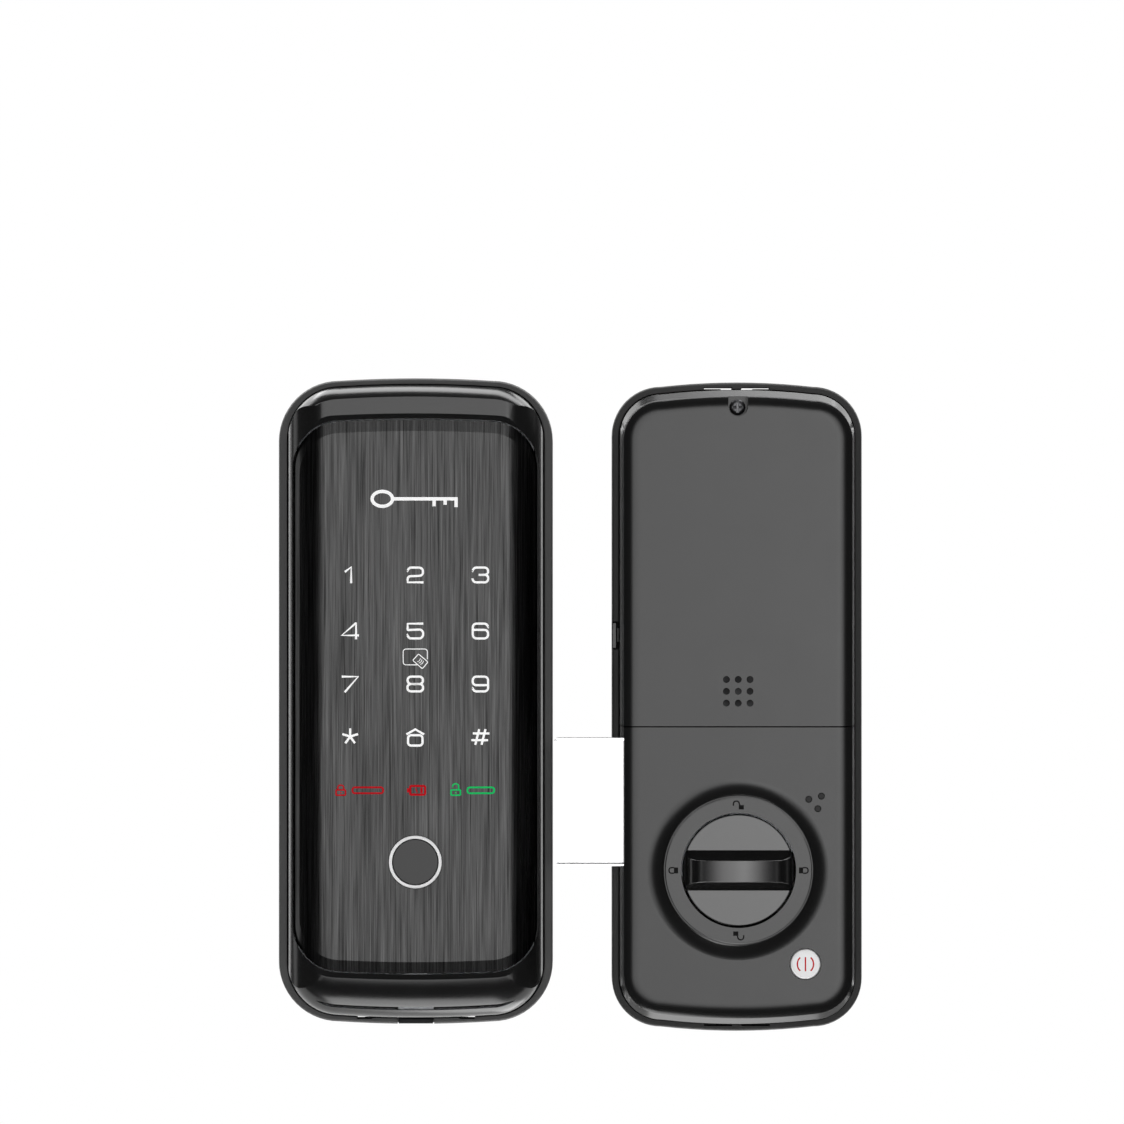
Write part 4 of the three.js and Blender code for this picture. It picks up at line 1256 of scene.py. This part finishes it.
    def status_marks(self) -> None:
        """Red closed padlock, red battery and green open padlock, the padlocks each with a bar."""
        z = self.status_z
        for name, left, right, ink, open_ in (("closed_mark", -20.4, -8.2, "red_ink", False),
                                              ("open_mark", 8.9, 20.1, "green_ink", True)):
            marks = self.padlock(left + 1.4, z, open_)
            bar = rounded([(left + 4.4, z + 0.75, 0.6), (right, z + 0.75, 0.6), (right, z - 0.75, 0.6),
                           (left + 4.4, z - 0.75, 0.6)], True, 5)
            self.printed(name, marks + [stroke("bar", bar, 0.45, self.face, True)], ink)
        case = rounded([(-1.3, z + 1.1, 0.3), (2.5, z + 1.1, 0.3), (2.5, z - 1.1, 0.3), (-1.3, z - 1.1, 0.3)],
                       True, 4)
        marks = [stroke("case", case, 0.55, self.face, True),
                 stroke("pole", [(-1.85, z + 0.5), (-1.85, z - 0.5)], 0.55, self.face),
                 stroke("level", [(1.6, z + 0.7), (1.6, z - 0.7)], 0.6, self.face),
                 stroke("dash", [(0.1, z + 0.55), (0.5, z - 0.55)], 0.3, self.face)]
        self.printed("battery_mark", marks, "red_ink")


# ------------------------------------------------------------------ deadbolt unit


@dataclass
class InnerCase:
    """The deadbolt unit's mounting plate, base frame and two covers, in the unit's own frame."""

    outline: Outline = Outline(31.95, 82.9, 12.5, 1.1)
    rim: float = 1.65
    rim_back: float = 0.3
    rim_front: float = 14.0
    rim_edge: tuple[Pair, ...] = ((0.32, 0.1), (0.2, 0.16), (0.18, 0.34))
    cover_inset: float = 2.05
    cover_back: float = 4.4
    front: float = 33.0
    wall: float = 2.0
    seam: float = -4.8
    seam_gap: float = 0.3
    knob_z: float = -41.1
    speaker_z: float = 4.2
    speaker_pitch: float = 3.0
    speaker_hole: float = 0.87
    screw_z: float = 76.4
    pocket_radius: float = 2.5
    pocket_top: float = 79.4
    lights: tuple[Pair, ...] = ((17.9, -23.2), (21.1, -22.4), (20.2, -25.6))
    button: Pair = (17.05, -65.0)
    bolts: tuple[float, float] = (62.5, -71.0)
    screws: tuple[Pair, ...] = ((-22.0, -66.0), (21.0, -74.0))
    slot_x: float = 4.8
    slot_z: float = 81.42
    slot_half: Pair = (3.6, 0.22)
    edge_side: float = 0.9
    edge_end: float = 2.0
    dome: float = 4.2
    dome_angle: float = 32.0
    seat_radius: float = 23.2
    seat_angle: float = 22.0

    def build(self) -> None:
        """Builds the plate, the frame and the covers."""
        span = Span.of("mounting_plate")
        self.x, self.z = span.x, span.z
        self.plate()
        self.base_frame()
        self.lower_cover()
        self.battery_cover()

    def finish(self, bench: Bench, body: Body, slot: str, node: str, smooth: float = 30.0) -> None:
        """Moves a piece from the unit's own frame to its place and hands it over."""
        bench.move(self.x, self.z).done(body, slot, [node], smooth)

    def hole(self, radius: float, x: float, z: float, back: float = -1, front: float = 5) -> Bench:
        """A round solid to cut away."""
        return Bench("hole").turned([(radius, back), (radius, front)], x, z, 48)

    def plate(self) -> None:
        """The steel plate on the door, with its cable window and bolt holes."""
        sheet = Bench("steel_plate").slab(self.outline.inset(3.4), 0, Span.of("mounting_plate").front)
        sheet.cut(Bench("window").box(-10, 10, 8, 32, -1, 3), self.hole(4.5, 0, self.knob_z),
                  *[self.hole(2.8, 0, z) for z in self.bolts],
                  *[self.hole(1.45, x, z) for x, z in self.screws]).soften(0.2, 2)
        self.finish(sheet, Body.LOCK, "steel", "mounting_plate")

    def base_frame(self) -> None:
        """The moulded tray whose edge shows as a rim round the covers."""
        tray = Bench("inner_rim").plate(self.outline, self.rim_back)
        tray.rise_rounded(self.rim_front - self.rim_back, self.rim_edge)
        well = Bench("well").slab(self.outline.inset(self.rim), 4.1, self.rim_front + 1)
        rear = Bench("rear").slab(self.outline.inset(3.0), -1, 2.1)
        wide, tall = self.slot_half
        slots = [Bench("slot").box(x - wide, x + wide, z - tall, z + tall, -1, 15)
                 for x in (-self.slot_x, self.slot_x) for z in (-self.slot_z, self.slot_z)]
        key = Span.of("release_key")
        notch = Bench("notch").box(-33, -29, key.bottom - self.z - 0.3, key.top - self.z + 0.3, 5.0, 15)
        tray.cut(well, rear, *slots, notch, Bench("window").box(-10, 10, 8, 32, 1, 5),
                 *[self.hole(4.0, 0, z, 1) for z in self.bolts], self.hole(3.08, 0, self.knob_z, 1),
                 *[self.hole(1.9, x, z, 1) for x, z in self.screws])
        post = Bench("post").turned([(2.1, 3.0), (2.1, 18.3)], 0, self.screw_z, 40)
        tray.join(post).cut(self.hole(1.35, 0, self.screw_z, 8, 20)).soften(0.15, 2)
        self.finish(tray, Body.LOCK, "frame_black", "inner_base_frame")

    def skin(self, name: str, thinner: float) -> Bench:
        """The covers' common shape: an upright skirt, a sloped shoulder, a wall and a domed front.

        Args:
            name: A name for the solid.
            thinner: How far it lies inside the outer surface.

        Returns:
            The bench that holds it.
        """
        size = self.outline.inset(self.cover_inset + thinner)
        back = self.cover_back - (1 if thinner else 0)
        body = Bench(name).plate(size, back).rise(19.0 - thinner * 0.3 - back)
        body.rise(1.2, 0.4, 1.5, 1.5)
        steps = 16
        run = self.dome / steps
        climbs = [run * math.tan(math.radians(self.dome_angle) * (1 - (k + 0.5) / steps) ** 2)
                  for k in range(steps)]
        wall = self.front - sum(climbs) - 20.2 - thinner * 0.7
        body.rise(wall, self.edge_side - 0.4, self.edge_end - 1.5, self.edge_end - 1.5)
        for climb in climbs:
            body.rise(climb, run)
        return body.outward()

    def shell(self, name: str, bottom: float, top: float) -> Bench:
        """One cover's hollow part of the common shape."""
        body = self.skin(name, 0.0).cut(self.skin("inside", 1.8))
        return body.common(Bench("span").box(-40, 40, bottom, top, 0, 60))

    def lower_cover(self) -> None:
        """The cover over the works, with a raised seat for the dial."""
        cover = self.shell("works_cover", -95, self.seam - self.seam_gap / 2)
        profile = [(23.4, self.front - self.wall), (23.4, self.front - 0.02)]
        radius, depth, steps = self.seat_radius, self.front, 12
        for k in range(steps):
            run = (self.seat_radius - 19.1) / steps
            depth += run * math.tan(math.radians(self.seat_angle) * ((k + 0.5) / steps) ** 0.8)
            radius -= run
            profile.append((radius, depth))
        profile += [(19.0, 35.6), (18.9, 36.0)]
        seat = Bench("dial_seat").turned(profile, 0, self.knob_z, 128)
        room = self.outline.inset(self.cover_inset + 0.9, self.cover_inset + 2.2)
        seat.common(Bench("room").slab(room, 20, 60))
        cover.join(seat)
        bolt = Span.of("deadbolt")
        way = Bench("bolt_way").box(-34, -24, bolt.bottom - self.z - 0.4, bolt.top - self.z + 0.4,
                                    bolt.back - 0.4, bolt.front + 0.4)
        x, z = self.button
        cover.cut(self.hole(15.0, 0, self.knob_z, 20, 40), way, self.hole(4.05, x, z, 28, 40),
                  *[self.hole(0.86, a, b, 28, 40) for a, b in self.lights])
        cover.soften(0.1, 2, 40)
        self.finish(cover, Body.LOCK, "satin_black", "lower_cover", 24)

    def battery_cover(self) -> None:
        """The cover that lifts off, with the speaker's holes and the screw's pocket."""
        cover = self.shell("power_cover", self.seam + self.seam_gap / 2, 95)
        well = Bench("well").box(-3.8, 3.8, 72.8, 79.2, 20.5, 31.0).common(self.skin("outside", 0.0))
        cover.join(well)
        steps, radius, top = 16, self.pocket_radius, self.pocket_top
        angles = [math.pi * (1 + k / steps) for k in range(steps + 1)]
        arc = [(radius * math.cos(a), self.screw_z + radius * math.sin(a)) for a in angles]
        pocket = Bench("pocket").prism(arc + [(radius, top), (-radius, top)], 22.0, 40)
        grid = [self.speaker_pitch * k for k in (-1, 0, 1)]
        holes = [self.hole(self.speaker_hole, x, self.speaker_z + z, 26, 40) for x in grid for z in grid]
        cover.cut(pocket, self.hole(1.4, 0, self.screw_z, 10, 23), *holes,
                  Bench("key_way").box(-31, -28.9, 16.0, 20.6, 4, 12.4))
        cover.soften(0.1, 2, 40)
        self.finish(cover, Body.COVER, "satin_black", "battery_cover", 24)


@dataclass
class Controls:
    """What hands touch on the deadbolt unit: dial, thumbturn, button, lights, screw and release key."""

    unit: InnerCase
    knob_radius: float = 14.2
    disc: float = 37.0
    top: float = 46.0
    bar: float = 2.7
    foot: float = 5.0
    dial_print: float = 37.304
    button_print: float = 33.404

    def build(self) -> None:
        """Builds the controls."""
        self.dial()
        self.thumbturn()
        self.button()
        self.lights()
        self.screw()
        key = Bench("release_slider").copy_of("release_key").soften(0.2, 3)
        key.done(Body.RELEASE, "satin_black", ["release_key"])

    def dial(self) -> None:
        """The ring round the thumbturn and its four small padlocks."""
        z = self.unit.knob_z
        ring = Bench("dial_face").turned([(18.6, 36.3), (18.6, 37.15), (18.45, 37.3)], 0, z, 128)
        ring.cut(Bench("bore").turned([(14.55, 30), (14.55, 40)], 0, z, 128)).soften(0.06, 2)
        self.unit_finish(ring, Body.LOCK, "satin_black", "dial_grey", ["dial_ring"])
        marks = []
        for turn, open_ in ((0, True), (180, True), (90, False), (-90, False)):
            for mark in self.small_padlock(16.45, open_):
                marks.append(mark.turn(turn, 0, 0).move(0, z))
        self.unit_finish(gathered("dial_marks", marks), Body.LOCK, "satin_black", "grey_ink", [])

    def small_padlock(self, out: float, open_: bool) -> list[Bench]:
        """A tiny padlock standing outwards, at a distance above the dial's middle."""
        depth = self.dial_print
        if open_:
            body = [(0.05, out - 1.0), (1.35, out - 1.0), (1.35, out + 0.1), (0.05, out + 0.1)]
            legs = [(-1.3, out - 0.05), (-1.3, out + 1.1, 0.65), (0.05, out + 1.1, 0.65), (0.3, out)]
        else:
            body = [(-0.75, out - 1.15), (0.75, out - 1.15), (0.75, out - 0.1), (-0.75, out - 0.1)]
            legs = [(-0.7, out - 0.1), (-0.7, out + 1.15, 0.6), (0.7, out + 1.15, 0.6), (0.7, out - 0.1)]
        block = Bench("block").prism(body, depth - 0.02, depth + 0.02)
        return [block, stroke("shackle", rounded(legs), 0.34, depth)]

    def unit_finish(self, bench: Bench, body: Body, slot: str, finish: str, nodes: list[str]) -> None:
        """Moves a piece into place and hands it over with a finish of its own."""
        bench.move(self.unit.x, self.unit.z).done(body, slot, nodes, finish=material(finish))

    def thumbturn(self) -> None:
        """A round disc with an arched grip bar on steep flanks."""
        z = self.unit.knob_z
        radius, disc = self.knob_radius, self.disc
        knob = Bench("thumbturn_grip").turned(
            [(radius - 0.3, 31.0), (radius, 31.3), (radius, disc - 0.35), (radius - 0.12, disc - 0.1),
             (radius - 0.4, disc)], 0, z, 128)
        flank = [(self.foot + 0.1, 36.0), (self.foot + 0.1, disc), (self.bar, self.top - 0.9),
                 (self.bar, self.top + 1)]
        section = [(depth, z + w) for w, depth in flank] + [(depth, z - w) for w, depth in reversed(flank)]
        bar = Bench("bar").prism(section, -15, 15, Along.WIDTH)
        bar.common(Bench("arch").prism(self.arch(), z - 10, z + 10, Along.HEIGHT),
                   Bench("round").turned([(radius - 0.25, 30), (radius - 0.25, 50)], 0, z, 128))
        knob.join(bar.soften(0.25, 3, 35))
        knob.cut(Bench("bore").turned([(3.3, 30), (3.3, 35.3)], 0, z, 48)).soften(0.08, 2, 40)
        self.unit_finish(knob, Body.THUMBTURN, "knob_grey", "knob_grey", ["thumbturn_knob"])

    def arch(self) -> list[Pair]:
        """The grip bar from above: a slow curve along its top that drops away at both ends."""
        slow, turn, end, low = 44.0, 9.6, 13.95, 37.6
        crest = [(turn * k / 8, self.top - (turn * k / 8) ** 2 / (2 * slow)) for k in range(9)]
        start = crest[-1][1]
        fall = [(turn + (end - turn) * math.sin(math.pi / 2 * k / 10),
                 low + (start - low) * math.cos(math.pi / 2 * k / 10)) for k in range(1, 11)]
        right = crest + fall + [(end, 35.0)]
        return right + [(-x, depth) for x, depth in reversed(right) if x > 0]

    def button(self) -> None:
        """The white open and close button with its red symbol."""
        x, z = self.unit.button
        cap = Bench("round_button").turned(
            [(4.7, 28.0), (4.7, 29.6), (3.75, 29.7), (3.75, 33.0), (3.66, 33.22), (3.45, 33.36), (3.1, 33.4)],
            x, z, 72)
        self.unit_finish(cap, Body.BUTTON, "white_plastic", "white_plastic", ["open_close_button"])
        marks = [stroke("bar", [(x, z + 1.8), (x, z - 1.8)], 0.36, self.button_print)]
        for side in (-1, 1):
            arc = [(x + side * (0.75 + 1.3 * math.cos(a)), z + 1.85 * math.sin(a))
                   for a in (math.radians(-65 + 130 * k / 10) for k in range(11))]
            marks.append(stroke("arc", arc, 0.36, self.button_print))
        self.unit_finish(gathered("button_symbol", marks), Body.BUTTON, "white_plastic", "red_ink", [])

    def lights(self) -> None:
        """Three small smoked lenses."""
        for number, (x, z) in enumerate(self.unit.lights, 1):
            lens = Bench(f"light_lens_{number}").turned(
                [(0.8, 30.2), (0.8, 32.9), (0.72, 32.96), (0.6, 32.97)], x, z, 40)
            self.unit_finish(lens, Body.LOCK, "lens", "smoked", [f"status_light_{number}"])

    def screw(self) -> None:
        """The cover's captive screw with a cross recess."""
        z = self.unit.screw_z
        profile = [(1.1, 10.0), (1.1, 22.3), (2.0, 22.31), (2.0, 23.7), (1.9, 23.98), (1.6, 24.18),
                   (1.1, 24.28), (0.5, 24.3)]
        head = Bench("captive_screw").turned(profile, 0, z, 64)
        for turn in (0, 90):
            blade = Bench("blade").box(-1.25, 1.25, -0.3, 0.3, 23.2, 25)
            head.cut(blade.turn(turn, 0, 0).move(0, z))
        head.soften(0.05, 2, 40)
        self.unit_finish(head, Body.COVER, "black_steel", "black_steel", ["cover_screw"])


@dataclass
class Works:
    """The bolt and what shows once the battery cover is off."""

    unit: InnerCase
    radius: float = 7.15
    half_length: float = 25.1
    top_edge: Pair = (0.6, 0.28)
    bottom_edge: Pair = (1.0, 0.4)

    def build(self) -> None:
        """Builds the bolt, the cells, the tray and the speaker."""
        bolt = Bench("sliding_bolt").copy_of("deadbolt")
        span = Span.of("deadbolt")
        for end, (width, fall) in ((1, self.top_edge), (-1, self.bottom_edge)):
            edge = (span.top if end > 0 else span.bottom) - end * width
            bolt.slice((0, span.front, edge), (0, width, end * fall))
        bolt.soften(0.06, 2)
        bolt.done(Body.BOLT, "bolt_steel", ["deadbolt"])
        for name, node, slot, width in (("cell_tray", "battery_tray", "inner_plastic", 0.2),
                                        ("speaker_can", "speaker", "inner_plastic", 0.1),
                                        ("guide_plate", "bolt_guide", "steel", 0.15)):
            Bench(name).copy_of(node).soften(width, 2).done(Body.LOCK, slot, [node])
        for number in range(1, 5):
            self.cell(number)

    def cell(self, number: int) -> None:
        """One dry cell lying across the tray, its positive end to the right or left by turns."""
        span = Span.of(f"battery_{number}")
        positive = 1 if number % 2 else -1
        half, radius = self.half_length, self.radius
        profile = [(5.6, -half), (6.6, -half + 0.05), (7.0, -half + 0.35), (radius, -half + 0.8),
                   (radius, half - 2.1), (7.0, half - 1.6), (6.5, half - 1.2), (5.9, half - 1.0),
                   (2.9, half - 1.0), (2.75, half - 0.85), (2.7, half - 0.15), (2.5, half)]
        if positive < 0:
            profile = [(r, -x) for r, x in reversed(profile)]
        profile = [(r, span.x + x) for r, x in profile]
        depth = (span.back + span.front) / 2
        cell = Bench(f"cell_{number}").turned(profile, depth, span.z, 64, Along.WIDTH)
        wrap = CellWrap(f"cell_wrap_{number}", (0.02, 0.055, 0.1), (0.55, 0.33, 0.12), span.x, half, positive)
        cell.done(Body.LOCK, "cell", [f"battery_{number}"], finish=wrap.build())


# ------------------------------------------------------------------ studio


@dataclass
class Studio:
    """Camera, lights, background and floor."""

    camera_x: float = 0.0374
    camera_z: float = 0.0356
    camera_y: float = -2.409
    lens: float = 300.0
    floor_z: float = -0.4
    floor_size: float = 1.3
    target: tuple[float, float, float] = (0.05, -0.02, 0.0)
    softboxes: tuple[tuple, ...] = (  # name, place, size, radiance
        ("front_box", (0.1, -3.6, 0.2), (1.7, 1.5), 1.4),
        ("front_edge", (0.1, -3.62, 0.2), (2.3, 1.9), 1.0),
        ("front_right", (0.36, -3.61, 0.1), (0.27, 1.5), 1.9),
        ("top_strip", (0.07, 0.02, 1.1), (1.5, 0.5), 8.0),
        ("bottom_strip", (0.07, -0.03, -0.38), (0.6, 0.16), 5.0),
        ("top_left", (-0.85, 0.35, 0.9), (1.2, 1.0), 6.0),
        ("top_right", (0.99, 0.35, 0.9), (1.2, 1.0), 6.0),
        ("left_strip", (-1.2, 0.25, 0.0), (0.35, 1.2), 1.1),
        ("right_strip", (1.5, 0.3, 0.1), (0.3, 1.2), 0.2),
        ("back_left", (-1.4, 1.7, 0.25), (0.9, 1.4), 2.6),
        ("back_right", (1.5, 1.7, 0.25), (0.9, 1.4), 2.6),
    )

    def build(self) -> None:
        """Sets up everything that isn't the object."""
        self.camera()
        self.background()
        for name, place, size, radiance in self.softboxes:
            self.softbox(name, place, size, radiance)
        fill = self.softbox("fill", (0.05, -3.0, 0.6), (2.5, 2.0), 2.4)
        fill.visible_glossy = False
        self.floor()
        bpy.context.scene.view_settings.view_transform = "Standard"

    def camera(self) -> None:
        """A long lens square on to the fronts of both units."""
        bpy.ops.object.camera_add(location=(self.camera_x, self.camera_y, self.camera_z),
                                  rotation=(math.pi / 2, 0, 0))
        camera = bpy.context.object
        camera.name = "camera"
        camera.data.lens = self.lens
        camera.data.sensor_width = 36.0
        camera.data.clip_end = 50.0
        bpy.context.scene.camera = camera

    def background(self) -> None:
        """White to the camera, and nearly dark in reflections."""
        world = bpy.data.worlds.new("studio")
        bpy.context.scene.world = world
        world.use_nodes = True
        tree = world.node_tree
        tree.nodes.clear()
        path = tree.nodes.new("ShaderNodeLightPath")
        dim = tree.nodes.new("ShaderNodeBackground")
        dim.inputs["Color"].default_value = (0.045, 0.045, 0.047, 1)
        white = tree.nodes.new("ShaderNodeBackground")
        mix = tree.nodes.new("ShaderNodeMixShader")
        output = tree.nodes.new("ShaderNodeOutputWorld")
        white.inputs["Color"].default_value = (1, 1, 1, 1)
        white.inputs["Strength"].default_value = 1.0
        tree.links.new(path.outputs["Is Camera Ray"], mix.inputs[0])
        tree.links.new(dim.outputs[0], mix.inputs[1])
        tree.links.new(white.outputs[0], mix.inputs[2])
        tree.links.new(mix.outputs[0], output.inputs[0])

    def softbox(self, name: str, place: Sequence[float], size: Pair, radiance: float) -> bpy.types.Object:
        """Adds an area light that looks at the object.

        Args:
            name: Its name.
            place: Where it hangs, in metres.
            size: Its width and height in metres.
            radiance: How bright its face is.

        Returns:
            The light.
        """
        bpy.ops.object.light_add(type="AREA", location=place)
        light = bpy.context.object
        light.name = name
        light.data.shape = "RECTANGLE"
        light.data.size, light.data.size_y = size
        light.data.energy = radiance * math.pi * size[0] * size[1]
        aim = Vector(self.target) - Vector(place)
        light.rotation_euler = aim.to_track_quat("-Z", "Y").to_euler()
        light.visible_camera = False
        return light

    def floor(self) -> None:
        """A plain pale floor below the object."""
        bpy.ops.mesh.primitive_plane_add(size=self.floor_size, location=(0.04, 0.47, self.floor_z))
        floor = bpy.context.object
        floor.name = "floor"
        graph = Graph("pale_floor")
        shade = graph.noise(60.0, 3.0)
        colour = graph.mix(shade, (0.74, 0.74, 0.735), (0.78, 0.78, 0.775))
        floor.data.materials.append(graph.surface(base_color=colour, roughness=0.7))


# ------------------------------------------------------------------ assembly


def dress_nodes() -> None:
    """Gives each node of the frame that still shows the finish of its material slot."""
    for part in frame["record"]["subparts"]:
        node = frame["nodes"][part["node"]]
        if node.hide_render:
            continue
        finish = material(part["material_slot"])
        if not node.material_slots:
            node.data.materials.append(finish)
        for slot in node.material_slots:
            slot.material = finish
        log.info("%s keeps its shape, in %s", node.name, part["material_slot"])


def main() -> None:
    """Builds the lock's looks and the studio."""
    logging.basicConfig(level=logging.INFO, format="%(message)s")
    Studio().build()
    KeypadCase().build()
    TouchPanel().build()
    unit = InnerCase()
    unit.build()
    Controls(unit).build()
    Works(unit).build()
    dress_nodes()


if __name__ == "__main__":
    main()
